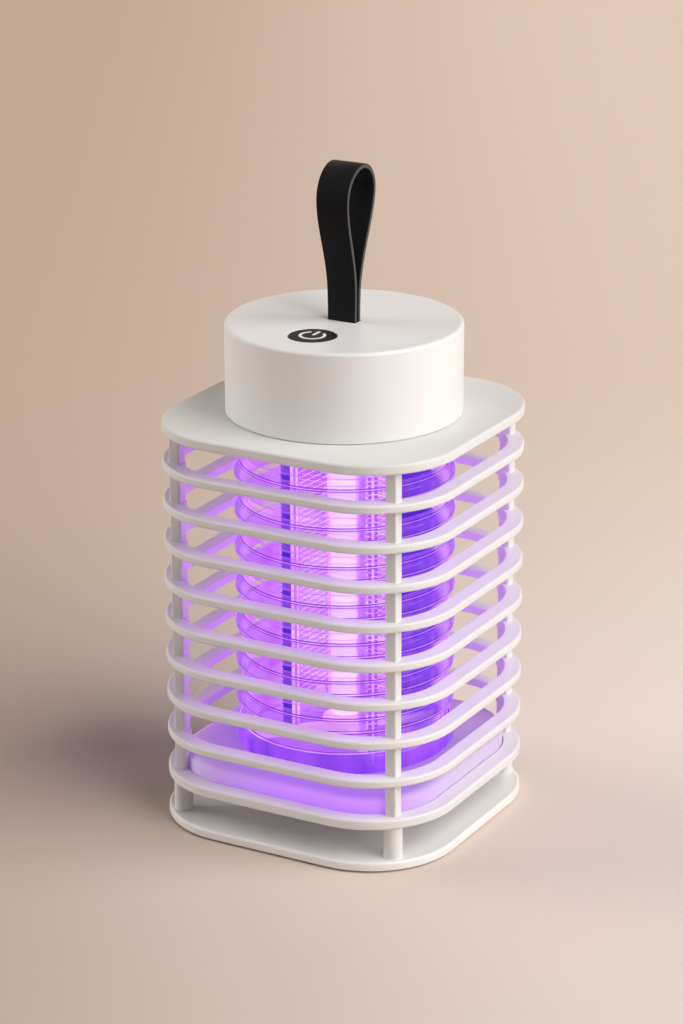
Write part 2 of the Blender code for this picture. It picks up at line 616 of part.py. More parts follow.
def make_electronics(carrier):
    """Battery, circuit board and the parts on the board."""
    battery_low = (-BATTERY_LENGTH / 2, -BATTERY_WIDTH / 2, FLOOR_TOP + FIT)
    battery_high = (BATTERY_LENGTH / 2, BATTERY_WIDTH / 2, FLOOR_TOP + FIT + BATTERY_HEIGHT)
    add_object("battery", block_mesh("battery", battery_low, battery_high, BATTERY_EDGE), "cell_wrap",
               carrier=carrier)
    board_low = (-BOARD_WIDTH / 2, -BOARD_FRONT, BOARD_BOTTOM)
    board_high = (BOARD_WIDTH / 2, BOARD_BACK, BOARD_TOP)
    add_object("circuit_board", block_mesh("circuit_board", board_low, board_high), "board_green",
               carrier=carrier)
    half = SWITCH_WIDTH / 2
    switch_place = (0, -BUTTON_DISTANCE)
    switch_loops = [rounded_loop(half, half, SWITCH_EDGE, z, EDGE_STEPS, switch_place)
                    for z in (ON_BOARD, ON_BOARD + SWITCH_HEIGHT)]
    switch_loops += [circle_inside(switch_loops[0], PLUNGER_RADIUS, z, switch_place)
                     for z in (ON_BOARD + SWITCH_HEIGHT, SWITCH_TOP)]
    add_object("push_switch", loft_mesh("push_switch", switch_loops), "black_plastic", carrier=carrier)
    make_socket(carrier)
    make_transformer(carrier)
    capacitor = [(CAPACITOR_RADIUS, ON_BOARD), (CAPACITOR_RADIUS, ON_BOARD + CAPACITOR_HEIGHT)]
    capacitor_mesh = turned_mesh("hv_capacitor", capacitor, MEDIUM_ROUND, CAPACITOR_PLACE)
    add_object("hv_capacitor", capacitor_mesh, "black_plastic", carrier=carrier)


def make_socket(carrier):
    """USB socket at the back end of the board, with its hollow mouth and tongue."""
    mouth = CAP_RADIUS - SOCKET_RECESS
    half_x = SOCKET_WIDTH / 2
    middle = ON_BOARD + SOCKET_HEIGHT / 2
    shell = block_mesh("usb_socket", (-half_x, mouth - SOCKET_LENGTH, ON_BOARD),
                       (half_x, mouth, ON_BOARD + SOCKET_HEIGHT))
    socket = add_object("usb_socket", shell, "steel", carrier=carrier)
    hollow_x = half_x - SOCKET_SHELL
    hollow_z = SOCKET_HEIGHT / 2 - SOCKET_SHELL
    hollow = block_mesh("socket_hollow", (-hollow_x, mouth - SOCKET_DEPTH, middle - hollow_z),
                        (hollow_x, mouth + SOCKET_RECESS, middle + hollow_z))
    shape_with(socket, hollow, "DIFFERENCE")
    tongue_root = mouth - (SOCKET_LENGTH + SOCKET_DEPTH) / 2
    tongue = block_mesh("socket_tongue", (-TONGUE_WIDTH / 2, tongue_root, middle - TONGUE_THICK / 2),
                        (TONGUE_WIDTH / 2, mouth - SOCKET_RECESS, middle + TONGUE_THICK / 2))
    shape_with(socket, tongue, "UNION")


def make_transformer(carrier):
    """High-voltage transformer: a square core drawn in at the winding."""
    half = TRANSFORMER_SIZE / 2
    waist = half - CORE_WAIST
    flange = TRANSFORMER_HEIGHT / 4
    winding_top = TRANSFORMER_HEIGHT - flange
    place = (0, TRANSFORMER_BACK)
    levels = [(half, 0), (half, flange), (waist, flange), (waist, winding_top), (half, winding_top),
              (half, TRANSFORMER_HEIGHT)]
    loops = [rounded_loop(width, width, TRANSFORMER_EDGE, ON_BOARD + z, EDGE_STEPS, place)
             for width, z in levels]
    add_object("hv_transformer", loft_mesh("hv_transformer", loops), "black_plastic", carrier=carrier)


def make_button(carrier):
    """Round power button with its retaining flange and stem, pressed down onto the switch."""
    flange_top = CEILING - FIT
    flange_low = flange_top - BUTTON_FLANGE_THICK
    stem_low = SWITCH_TOP + BUTTON_TRAVEL + FIT
    flange = BUTTON_RADIUS + BUTTON_FLANGE
    profile = [(BUTTON_STEM_RADIUS, stem_low), (BUTTON_STEM_RADIUS, flange_low), (flange, flange_low),
               (flange, flange_top), (BUTTON_RADIUS, flange_top), (BUTTON_RADIUS, CAP_TOP)]
    levels = [(radius, z - CAP_TOP) for radius, z in profile]
    add_object("power_button", turned_mesh("power_button", levels, MEDIUM_ROUND), "black_plastic",
               (0, -BUTTON_DISTANCE, CAP_TOP), carrier)


def strap_side(offset):
    """Points up the front side of the loop, offset outwards from the middle of the leaf."""
    neck = STRAP_LEAF / 2
    wide = (STRAP_LOOP_WIDTH - STRAP_LEAF) / 2
    rise = STRAP_SHOULDER - STRAP_NECK
    crown = STRAP_HEIGHT - STRAP_LEAF / 2 - STRAP_SHOULDER
    handles = [Vector((neck, STRAP_NECK)), Vector((neck, STRAP_NECK + STRAP_EASE_LOW * rise)),
               Vector((wide, STRAP_SHOULDER - STRAP_EASE_HIGH * rise)), Vector((wide, STRAP_SHOULDER))]
    middle = []
    for step in range(2 * ARC_STEPS):
        t = step / (2 * ARC_STEPS)
        weights = ((1 - t) ** 3, 3 * t * (1 - t) ** 2, 3 * t * t * (1 - t), t ** 3)
        middle.append(sum((w * h for w, h in zip(weights, handles)), Vector((0, 0))))
    for step in range(2 * ARC_STEPS + 1):
        angle = math.pi / 2 * step / (2 * ARC_STEPS)
        middle.append(Vector((wide * math.cos(angle), STRAP_SHOULDER + crown * math.sin(angle))))
    points = []
    for i, point in enumerate(middle):
        if i == 0:
            way = Vector((0, 1))
        elif i == len(middle) - 1:
            way = Vector((-1, 0))
        else:
            way = (middle[i + 1] - middle[i - 1]).normalized()
        points.append(point + offset * Vector((way.y, -way.x)))
    return points


def strap_prism(name, outline, overhang):
    """The strap's outline across its width, which grows with height, as does its backward lean."""
    loops = []
    for side in (-1, 1):
        loop = []
        for y, z in outline:
            width = STRAP_WIDTH_LOW + (STRAP_WIDTH_HIGH - STRAP_WIDTH_LOW) * z / STRAP_HEIGHT
            lean = STRAP_LEAN * (max(z, 0) / STRAP_HEIGHT) ** 2
            loop.append((side * (width / 2 + overhang), y + lean, z))
        loops.append(loop)
    return loft_mesh(name, loops)


def mirrored(points):
    """A half outline from bottom to top, closed by its mirror image."""
    return [(p.x, p.y) for p in points] + [(-p.x, p.y) for p in reversed(points[:-1])]


def make_strap(carrier, axis):
    """Strap loop on its bending axis, and the tail that holds it inside the cap."""
    outer = mirrored(strap_side(STRAP_LEAF / 2))
    for step in range(2 * ARC_STEPS + 1):
        angle = math.pi * (1 + step / (2 * ARC_STEPS))
        outer.append((STRAP_LEAF * math.cos(angle), STRAP_LEAF * math.sin(angle)))
    inner = mirrored(strap_side(-STRAP_LEAF / 2)[1:])
    inner.append((0, STRAP_NECK))
    strap = add_object("strap", strap_prism("strap", outer, 0), "black_strap", (0, 0, STRAP_AXIS), axis)
    inside = strap_prism("strap_inside", inner, STRAP_LEAF)
    inside.transform(Matrix.Translation((0, 0, STRAP_AXIS)))
    shape_with(strap, inside, "DIFFERENCE")
    half_x = STRAP_WIDTH_LOW / 2
    head_top = CEILING - FIT
    head_low = head_top - STRAP_TAIL_DEPTH
    wide = STRAP_LEAF + STRAP_TAIL_HEAD
    outline = [(-wide, head_low), (wide, head_low), (wide, head_top), (STRAP_LEAF, head_top),
               (STRAP_LEAF, CAP_TOP), (-STRAP_LEAF, CAP_TOP), (-STRAP_LEAF, head_top), (-wide, head_top)]
    tail_loops = [[(x, y, z) for y, z in outline] for x in (-half_x, half_x)]
    tail = add_object("strap_tail", loft_mesh("strap_tail", tail_loops), "black_strap", carrier=carrier)
    pin_level = head_low + STRAP_TAIL_DEPTH / 2
    turn = Matrix.Translation((0, 0, pin_level)) @ Matrix.Rotation(math.pi / 2, 4, "Y")
    reach = half_x + STRAP_PIN_OVERHANG
    bore_radius = STRAP_PIN_RADIUS + FIT
    bore = turned_mesh("pin_bore", [(bore_radius, -reach), (bore_radius, reach)], SMALL_ROUND)
    bore.transform(turn)
    shape_with(tail, bore, "DIFFERENCE")
    pin = turned_mesh("strap_pin", [(STRAP_PIN_RADIUS, -reach), (STRAP_PIN_RADIUS, reach)], SMALL_ROUND)
    pin.transform(turn)
    add_object("strap_pin", pin, "steel", carrier=carrier)


def make_guard(carrier):
    """Banded clear guard with slots between its bands, on four pillars."""
    profile = [(GUARD_INSIDE, GUARD_TOP), (GUARD_INSIDE, GUARD_BOTTOM), (BAND_RADIUS, GUARD_BOTTOM),
               (BAND_RADIUS, GUARD_BOTTOM + GUARD_FOOT_HEIGHT - BAND_CHAMFER),
               (GUARD_RADIUS, GUARD_BOTTOM + GUARD_FOOT_HEIGHT)]
    for number in reversed(range(BAND_COUNT)):
        top = PLATE_BOTTOM - number * BAND_PITCH
        low = top - BAND_HEIGHT
        profile += [(GUARD_RADIUS, low), (BAND_RADIUS, low + BAND_CHAMFER), (BAND_RADIUS, top - BAND_CHAMFER),
                    (GUARD_RADIUS, top)]
    profile.append((GUARD_RADIUS, GUARD_TOP))
    guard_mesh = turned_mesh("guard", profile, GUARD_ROUND, ring=True)
    guard = add_object("guard", guard_mesh, "clear_guard", carrier=carrier)
    half_slot = GUARD_RADIUS / math.sqrt(2) - PILLAR_WIDTH / (2 * math.sqrt(2))
    slots = []
    for number in range(1, BAND_COUNT):
        middle = PLATE_BOTTOM - number * BAND_PITCH + (BAND_PITCH - BAND_HEIGHT) / 2
        for quarter in range(4):
            slot = block_mesh("guard_slot", (half_slot + FIT, -half_slot, middle - SLOT_HEIGHT / 2),
                              (BAND_RADIUS + BAND_PROUD, half_slot, middle + SLOT_HEIGHT / 2))
            slot.transform(Matrix.Rotation(math.pi / 2 * quarter, 4, "Z"))
            slots.append(slot)
    shape_with(guard, merged_mesh("guard_slots", slots), "DIFFERENCE")


def make_lamp(carrier):
    """UV tube between its end caps, the holder above it and the hub below it."""
    lower_cap = HUB_BOTTOM + HUB_FLOOR + FIT
    upper_cap = HOLDER_BOTTOM + TUBE_CAP_BITE
    tube_low = lower_cap + TUBE_CAP_LENGTH + FIT
    tube_high = upper_cap - TUBE_CAP_LENGTH - FIT
    tube = [(TUBE_RADIUS - EDGE_CHAMFER, tube_low), (TUBE_RADIUS, tube_low + EDGE_CHAMFER),
            (TUBE_RADIUS, tube_high - EDGE_CHAMFER), (TUBE_RADIUS - EDGE_CHAMFER, tube_high)]
    add_object("uv_tube", turned_mesh("uv_tube", tube, MEDIUM_ROUND), "tube_glass", carrier=carrier)
    for name, low in (("tube_cap_lower", lower_cap), ("tube_cap_upper", upper_cap - TUBE_CAP_LENGTH)):
        cap = [(TUBE_CAP_RADIUS, low), (TUBE_CAP_RADIUS, low + TUBE_CAP_LENGTH)]
        add_object(name, turned_mesh(name, cap, MEDIUM_ROUND), "steel", carrier=carrier)
    seat = TUBE_CAP_RADIUS + FIT
    holder = [(seat, upper_cap + FIT), (seat, HOLDER_BOTTOM), (HOLDER_RADIUS, HOLDER_BOTTOM),
              (HOLDER_RADIUS, HOLDER_TOP)]
    holder_mesh = turned_mesh("lamp_holder", holder, MEDIUM_ROUND)
    add_object("lamp_holder", holder_mesh, "ceramic_white", carrier=carrier)
    hub_profile = [(HUB_RADIUS, HUB_BOTTOM), (HUB_RADIUS, HUB_TOP), (seat, HUB_TOP),
                   (seat, HUB_BOTTOM + HUB_FLOOR)]
    hub = add_object("lower_hub", turned_mesh("lower_hub", hub_profile, MEDIUM_ROUND), "ceramic_white",
                     carrier=carrier)
    arms = []
    for quarter in range(4):
        arm = block_mesh("hub_arm", ((HUB_RADIUS + seat) / 2, -ARM_WIDTH / 2, HUB_BOTTOM),
                         (GUARD_INSIDE - FIT, ARM_WIDTH / 2, HUB_BOTTOM + ARM_HEIGHT))
        arm.transform(Matrix.Rotation(math.pi / 2 * (quarter + 0.5), 4, "Z"))
        arms.append(arm)
    shape_with(hub, merged_mesh("hub_arms", arms), "UNION")


def helix_points(phase):
    """Points of one grid wire: loops up the grid, then a straight end at the bottom and the top."""
    count = GRID_LOOPS * GRID_POINTS_PER_LOOP
    points = []
    for step in range(count + 1):
        angle = phase + 2 * math.pi * step / GRID_POINTS_PER_LOOP
        height = GRID_BOTTOM + (GRID_TOP - GRID_BOTTOM) * step / count
        points.append(Vector((GRID_RADIUS * math.cos(angle), GRID_RADIUS * math.sin(angle), height)))
    rise = Vector((0, 0, 2 * GRID_WIRE_RADIUS))
    return [points[0] - rise, *points, points[-1] + rise]


def least_gap(points):
    """Least gap between loops of one wire, measured on points half a loop apart or more."""
    apart = GRID_POINTS_PER_LOOP // 2
    least = min((a - b).length for i, a in enumerate(points) for b in points[i + apart:])
    return least - 2 * GRID_WIRE_RADIUS


def make_grid(carrier):
    """Two interleaved grid wires and the four upright combs that carry them."""
    first_lead = lead_holes()["grid_lead_a"]
    phase = math.atan2(first_lead[1], first_lead[0])
    for number, letter in enumerate("ab"):
        points = helix_points(phase + math.pi * number)
        print(f"least gap of grid_wire_{letter}: {least_gap(points) * 1000:.2f} mm")
        wire = tube_curve("grid_wire_" + letter, points, GRID_WIRE_RADIUS)
        add_object("grid_wire_" + letter, wire, "steel", carrier=carrier)
    low = HUB_BOTTOM + ARM_HEIGHT + FIT
    for quarter, corner in enumerate(("back_right", "back_left", "front_left", "front_right")):
        reach = GUARD_INSIDE - WIDE_COMB_GAP if corner == "back_right" else COMB_REACH
        comb = block_mesh("grid_comb_" + corner, (COMB_INNER, -COMB_THICK / 2, low),
                          (reach, COMB_THICK / 2, CAP_BOTTOM - FIT))
        comb.transform(Matrix.Rotation(math.pi / 2 * (quarter + 0.5), 4, "Z"))
        add_object("grid_comb_" + corner, comb, "violet_comb", carrier=carrier)


def make_leads(carrier):
    """Insulated leads from the board to the lamp and the grid, and from the battery to the board."""
    board_end = BOARD_BOTTOM - FIT
    grid_end = GRID_TOP + 2 * GRID_WIRE_RADIUS + FIT
    holes = lead_holes()
    lamp_x, lamp_y = holes["lamp_lead"]
    holder_side = HOLDER_RADIUS + FIT
    run = (HOLDER_BOTTOM + HOLDER_TOP) / 2
    lamp_route = ((lamp_y, board_end), (lamp_y, FLOOR_TOP), (lamp_y, CAP_BOTTOM - LEAD_BEND),
                  ((lamp_y + holder_side) / 2, run), (holder_side, run))
    routes = {"lamp_lead": [Vector((lamp_x, y, z)) for y, z in lamp_route]}
    for name in ("grid_lead_a", "grid_lead_b"):
        hole = Vector((*holes[name], 0))
        end = hole.normalized() * GRID_RADIUS
        half_way = (hole + end) / 2
        routes[name] = [hole + Vector((0, 0, board_end)), hole + Vector((0, 0, FLOOR_TOP)),
                        hole + Vector((0, 0, CAP_BOTTOM - LEAD_BEND)), half_way + Vector((0, 0, run)),
                        end + Vector((0, 0, grid_end + LEAD_BEND)), end + Vector((0, 0, grid_end))]
    battery_end = BATTERY_LENGTH / 2 + FIT
    battery_top = FLOOR_TOP + FIT + BATTERY_HEIGHT
    out = battery_end + BATTERY_LEAD_BOW
    over = (battery_top + BOARD_BOTTOM) / 2
    board_x = BOARD_WIDTH / 2 - STANDOFF_INSET
    start = FLOOR_TOP + BATTERY_HEIGHT / 2
    battery_route = ((battery_end, start), (out, start), (out, battery_top), (battery_end, over),
                     (board_x + LEAD_BEND, over), (board_x, board_end))
    routes["battery_lead"] = [Vector((x, BATTERY_LEAD_PLACE, z)) for x, z in battery_route]
    for name, corners in routes.items():
        curve = tube_curve(name, smooth_route(corners, LEAD_POINTS), LEAD_RADIUS)
        add_object(name, curve, "lead_red", carrier=carrier)


clear_scene()
make_base()
make_lower_frame()
make_tray()
cage_axis = joint_axis("cage_axis", (0, 0, DECK_TOP))
head_axis = joint_axis("head_axis", (0, 0, PLATE_TOP))
button_axis = joint_axis("button_axis", (0, -BUTTON_DISTANCE, CAP_TOP))
strap_axis = joint_axis("strap_axis", (0, 0, STRAP_AXIS))
make_cage(cage_axis)
make_cap(head_axis)
make_floor(head_axis)
make_electronics(head_axis)
make_button(button_axis)
make_strap(head_axis, strap_axis)
make_guard(head_axis)
make_lamp(head_axis)
make_grid(head_axis)
make_leads(head_axis)
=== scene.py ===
import math

import bmesh
import bpy
from mathutils import Matrix, Vector


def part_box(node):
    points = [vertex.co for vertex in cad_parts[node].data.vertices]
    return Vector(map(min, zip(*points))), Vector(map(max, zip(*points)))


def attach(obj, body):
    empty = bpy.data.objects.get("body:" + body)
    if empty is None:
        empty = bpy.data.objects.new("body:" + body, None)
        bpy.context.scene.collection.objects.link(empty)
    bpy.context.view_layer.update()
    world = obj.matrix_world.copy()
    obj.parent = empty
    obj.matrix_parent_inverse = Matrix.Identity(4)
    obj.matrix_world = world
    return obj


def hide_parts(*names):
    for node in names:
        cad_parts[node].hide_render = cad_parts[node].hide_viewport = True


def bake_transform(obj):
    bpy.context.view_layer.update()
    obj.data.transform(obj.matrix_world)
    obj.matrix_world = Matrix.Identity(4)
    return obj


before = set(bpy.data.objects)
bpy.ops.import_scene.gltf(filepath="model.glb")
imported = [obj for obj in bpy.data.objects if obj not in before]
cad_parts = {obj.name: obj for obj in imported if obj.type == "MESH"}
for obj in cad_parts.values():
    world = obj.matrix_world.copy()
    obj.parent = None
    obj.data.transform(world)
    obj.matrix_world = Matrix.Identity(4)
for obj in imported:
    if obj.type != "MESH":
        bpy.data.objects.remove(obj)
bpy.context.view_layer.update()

scene = bpy.context.scene
scene.view_settings.view_transform = "Standard"

# Camera: the zapper is seen from its front right corner, a little from above, from about a metre
# away and through a long lens. The frame stands upright, so the sensor's width lies along its height.
view_target = Vector((0.0, 0.0, 0.0998))
view_azimuth = math.radians(29.26)
view_elevation = math.radians(19.25)
view_distance = 1.053
view_roll = math.radians(-0.2)
view_right = (math.cos(view_azimuth), math.sin(view_azimuth), 0.0)
view_away = (-math.sin(view_azimuth), math.cos(view_azimuth), 0.0)
view_back = Vector((math.sin(view_azimuth) * math.cos(view_elevation),
                    -math.cos(view_azimuth) * math.cos(view_elevation), math.sin(view_elevation)))


def put(name, data):
    """A new object in the scene."""
    item = bpy.data.objects.new(name, data)
    scene.collection.objects.link(item)
    return item


camera_data = bpy.data.cameras.new("camera")
camera_data.sensor_width = 36.0
camera_data.lens = 116.0
camera_data.shift_x = -0.0032
camera = put("camera", camera_data)
view_turn = (-view_back).to_track_quat("-Z", "Y").to_matrix().to_4x4() @ Matrix.Rotation(view_roll, 4, "Z")
camera.matrix_world = Matrix.Translation(view_target + view_distance * view_back) @ view_turn
scene.camera = camera


# Base plate: a flat white moulding with soft edges, which the four legs are screwed to from below.
# Satin ABS from a spark-eroded mould, with round pockets for the feet and the screw heads.
base_low, base_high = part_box("base_plate")
cage_half = base_high.x
corner_radius = 0.0294
corner_steps = 20
plate_fillet = 0.0009
pocket_gap = 0.0003
head_pocket = 0.0014
cut_over = 0.001
corners = ("front_left", "front_right", "back_right", "back_left")


def rounded(centre_x, centre_y, radius, steps):
    """Points round a rectangle with round corners, from the centre of one of its rounds."""
    points = []
    for quarter, (side_x, side_y) in enumerate(((1, 1), (-1, 1), (-1, -1), (1, -1))):
        for step in range(steps + 1):
            angle = math.pi / 2 * (quarter + step / steps)
            points.append((side_x * centre_x + radius * math.cos(angle),
                           side_y * centre_y + radius * math.sin(angle)))
    return points


def outline(half, height):
    """Points round the cage at one level; its outlines share their four corner centres."""
    centre = cage_half - corner_radius
    return [(x, y, height) for x, y in rounded(centre, centre, half - centre, corner_steps)]


def fillet(out, height, radius, start, end, steps=4):
    """Points of a round edge in a section, about a centre, from one angle in degrees to another."""
    angles = [math.radians(start + (end - start) * step / steps) for step in range(steps + 1)]
    return [(out + radius * math.cos(a), height + radius * math.sin(a)) for a in angles]


def edge_up(half, low, high, low_radius, high_radius, top_steps=4):
    """Half widths and heights up the outside of a body with round edges."""
    return (fillet(half - low_radius, low + low_radius, low_radius, -90, 0)
            + fillet(half - high_radius, high - high_radius, high_radius, 0, 90, top_steps))


def to_mesh(shape, name):
    """The mesh of a working shape, which is freed."""
    mesh = bpy.data.meshes.new(name)
    shape.to_mesh(mesh)
    shape.free()
    return mesh


def loft(loops, ring=False):
    """A closed mesh through loops of points: a ring, or a body with its first and last loop filled."""
    shape = bmesh.new()
    rows = [[shape.verts.new(point) for point in loop] for loop in loops]
    pairs = list(zip(rows, rows[1:]))
    if ring:
        pairs.append((rows[-1], rows[0]))
    for low, high in pairs:
        for i, vertex in enumerate(low):
            j = (i + 1) % len(low)
            shape.faces.new((vertex, low[j], high[j], high[i]))
    if not ring:
        shape.faces.new(rows[0])
        shape.faces.new(rows[-1])
    bmesh.ops.recalc_face_normals(shape, faces=shape.faces)
    return to_mesh(shape, "loft")


def framed(profile, ring=False):
    """A body that follows the cage's outline: profile holds its half width and height."""
    return loft([outline(half, height) for half, height in profile], ring)


def turned(profile, steps=48, centre=(0.0, 0.0), ring=False):
    """A turned body: profile holds radius and height along its outline."""
    turns = [2 * math.pi * step / steps for step in range(steps)]
    ways = [(math.cos(turn), math.sin(turn)) for turn in turns]
    return loft([[(centre[0] + radius * x, centre[1] + radius * y, height) for x, y in ways]
                 for radius, height in profile], ring)


def bar(radius, low, high, steps, centre):
    """An upright round bar, to cut a hole with."""
    return turned([(radius, low), (radius, high)], steps, centre)


def together(meshes):
    """Several separate bodies in one mesh."""
    shape = bmesh.new()
    for mesh in meshes:
        shape.from_mesh(mesh)
    return to_mesh(shape, "together")


def combine(mesh, others, operation):
    """The mesh with other closed bodies joined to it or cut out of it."""
    body = put("combine_body", mesh)
    tool = put("combine_tool", together(others))
    modifier = body.modifiers.new("combine", "BOOLEAN")
    modifier.object = tool
    modifier.operation = operation
    modifier.solver = "MANIFOLD"
    result = bpy.data.meshes.new_from_object(body.evaluated_get(bpy.context.evaluated_depsgraph_get()))
    for item in (body, tool):
        bpy.data.objects.remove(item, do_unlink=True)
    return result


def place(name, mesh, finishes, body, slot, *nodes, sharp=38.0):
    """Puts a finished mesh in the scene, riding on a body and standing for the named solids."""
    mesh.name = name
    kinds = [face.material_index for face in mesh.polygons]
    mesh.materials.clear()
    for finish in finishes:
        mesh.materials.append(finish)
    mesh.polygons.foreach_set("material_index", kinds)
    mesh.shade_smooth()
    mesh.set_sharp_from_angle(angle=math.radians(sharp))
    piece = put(name, mesh)
    piece.modifiers.new("weighted_normals", "WEIGHTED_NORMAL").keep_sharp = True
    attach(piece, body)
    if nodes:
        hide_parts(*nodes)
    return piece


def feed(node, values):
    """Gives each named input of a shader node a value or another node's output."""
    for name, value in values.items():
        socket = node.inputs[name]
        if isinstance(value, bpy.types.NodeSocket):
            node.id_data.links.new(value, socket)
        else:
            socket.default_value = (*value, 1.0) if socket.type == "RGBA" else value


def add_node(tree, kind, values=None, **settings):
    """Adds a shader node with its settings and inputs, and returns its outputs."""
    node = tree.nodes.new("ShaderNode" + kind)
    for name, value in settings.items():
        setattr(node, name, value)
    feed(node, values or {})
    return node.outputs


def reckon(tree, operation, *terms, **settings):
    """The result of a sum on values and outputs."""
    return add_node(tree, "Math", dict(enumerate(terms)), operation=operation, **settings)[0]


def new_group(name, inputs, outputs):
    """An empty shader node group with named sockets, what it is given, and its output node."""
    group = bpy.data.node_groups.new(name, "ShaderNodeTree")
    for side, kinds in (("INPUT", inputs), ("OUTPUT", outputs)):
        for kind, sockets in kinds.items():
            for socket in sockets:
                group.interface.new_socket(socket, in_out=side, socket_type="NodeSocket" + kind)
    return group, group.nodes.new("NodeGroupInput").outputs, group.nodes.new("NodeGroupOutput")


def make_skin(name, scale, detail, middle, swing, texture, values, height, **settings):
    """Group for a skin: slow drifts of tone and gloss about their middle, and a fine relief."""
    group, given, out = new_group(name, {"Color": ["Colour"], "Float": ["Roughness", "Drift", "Grain"]},
                                  {"Color": ["Colour"], "Float": ["Roughness", "Height"]})
    spot = add_node(group, "TexCoord")["Object"]
    drift = add_node(group, "TexNoise", {"Vector": spot, "Scale": scale, "Detail": detail})["Fac"]
    sway = reckon(group, "SUBTRACT", drift, 0.5)
    tone = reckon(group, "MULTIPLY_ADD", sway, given["Drift"], middle)
    shade = add_node(group, "HueSaturation", {"Color": given["Colour"], "Value": tone})["Color"]
    gloss = reckon(group, "MULTIPLY_ADD", sway, swing, given["Roughness"])
    relief = add_node(group, texture, {"Vector": spot, "Scale": given["Grain"], **values}, **settings)[height]
    feed(out, {"Colour": shade, "Roughness": gloss, "Height": relief})
    return group


moulded_skin = make_skin("moulded_skin", 34.0, 3.0, 1.0, 0.16, "TexNoise",
                         {"Detail": 2.0, "Roughness": 0.6}, "Fac")


def opened(material):
    """A material's node tree and its Principled shader."""
    material.use_nodes = True
    return material.node_tree, material.node_tree.nodes["Principled BSDF"]


def skinned(name, group, colour, drift, roughness, grain, bump, specular=0.5, metallic=0.0, depth=0.0001):
    """A material that takes its colour, gloss and relief from a skin's group."""
    material = bpy.data.materials.new(name)
    tree, shader = opened(material)
    values = {"Colour": colour, "Drift": drift, "Roughness": roughness, "Grain": grain}
    skin = add_node(tree, "Group", values, node_tree=group)
    relief = add_node(tree, "Bump", {"Strength": bump, "Distance": depth, "Height": skin["Height"]})
    feed(shader, {"Base Color": skin["Colour"], "Roughness": skin["Roughness"], "Normal": relief["Normal"],
                  "Specular IOR Level": specular, "Metallic": metallic})
    return material


def moulded(name, *look):
    """A plastic, rubber or ceramic: colour, drift, roughness, grain, bump and specular level."""
    return skinned(name, moulded_skin, *look)


def upright(node):
    """Radius, middle, foot and top of a solid that stands round an upright axis."""
    low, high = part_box(node)
    return (high.x - low.x) / 2, ((low.x + high.x) / 2, (low.y + high.y) / 2), low.z, high.z


white_plastic = moulded("white_plastic", (0.80, 0.79, 0.78), 0.05, 0.36, 2600.0, 0.10)
base_cuts = []
for corner in corners:
    radius, middle, low, high = upright("rubber_foot_" + corner)
    base_cuts.append(bar(radius + pocket_gap, low - cut_over, high + pocket_gap, 32, middle))
for corner in corners:
    radius, middle, low, high = upright("base_screw_" + corner)
    base_cuts.append(bar(radius + pocket_gap, base_low.z - cut_over, low + head_pocket, 24, middle))
base_mesh = framed(edge_up(cage_half, base_low.z, base_high.z, 0.6 * plate_fillet, plate_fillet))
base_mesh = combine(base_mesh, base_cuts, "DIFFERENCE")
place("base_moulding", base_mesh, [white_plastic], "base", "white_plastic", "base_plate")


# Rubber feet: four soft discs pressed into the base, standing proud of it by about half a millimetre.
# Matt black rubber, with two fine grip rings moulded into the face that meets the table.
foot_rubber = moulded("foot_rubber", (0.030, 0.030, 0.032), 0.5, 0.75, 1500.0, 0.35)
foot_round = 0.0004
grip_depth = 0.00025
grip_mouth = 0.00035
grip_floor = 0.0001
for corner in corners:
    radius, middle, low, high = upright("rubber_foot_" + corner)
    shape = []
    for share in (0.30, 0.62):
        groove = share * radius
        shape += [(groove - grip_mouth, low), (groove - grip_floor, low + grip_depth),
                  (groove + grip_floor, low + grip_depth), (groove + grip_mouth, low)]
    shape += fillet(radius - foot_round, low + foot_round, foot_round, -90, 0, 3) + [(radius, high)]
    place("grip_foot_" + corner, turned(shape, 32, middle), [foot_rubber], "base", "black_rubber",
          "rubber_foot_" + corner)


# Screws: round-headed steel screws with a cross recess, driven up into the legs from below.
# Bright zinc plate, turned, so the gloss varies a little around each head.
def block(low, high, edge=0.0, quarters=0.0):
    """A box between two corners, with rounded edges, then turned by quarters about the axis."""
    shape = bmesh.new()
    bmesh.ops.create_cube(shape, size=1.0)
    size = Vector(high) - Vector(low)
    middle = (Vector(high) + Vector(low)) / 2
    stretch = Matrix.Translation(middle) @ Matrix.Diagonal((*size, 1.0))
    bmesh.ops.transform(shape, matrix=stretch, verts=shape.verts)
    if edge:
        bmesh.ops.bevel(shape, geom=shape.edges[:], offset=edge, segments=2, profile=0.5, affect="EDGES")
    mesh = to_mesh(shape, "block")
    if quarters:
        mesh.transform(Matrix.Rotation(math.pi / 2 * quarters, 4, "Z"))
    return mesh


metal_swing = 0.22
turned_metal = make_skin("turned_metal", 420.0, 3.0, 0.97, metal_swing, "TexWave",
                         {"Distortion": 0.6, "Detail": 1.0}, "Fac", wave_type="BANDS", bands_direction="Z")


def metal(name, colour, roughness, rings, bump):
    """A bright metal with fine rings; its roughness swings up from the one given."""
    return skinned(name, turned_metal, colour, 0.30, roughness + metal_swing / 2, rings, bump,
                   metallic=1.0, depth=0.00005)


screw_steel = metal("screw_steel", (0.60, 0.60, 0.62), 0.18, 900.0, 0.15)
screw_head_height = 0.0011
screw_round = 0.0005
screw_shank = 0.0012
screw_taper = 0.0008
recess_half = 0.0012
recess_slot = 0.00026
recess_depth = 0.0006


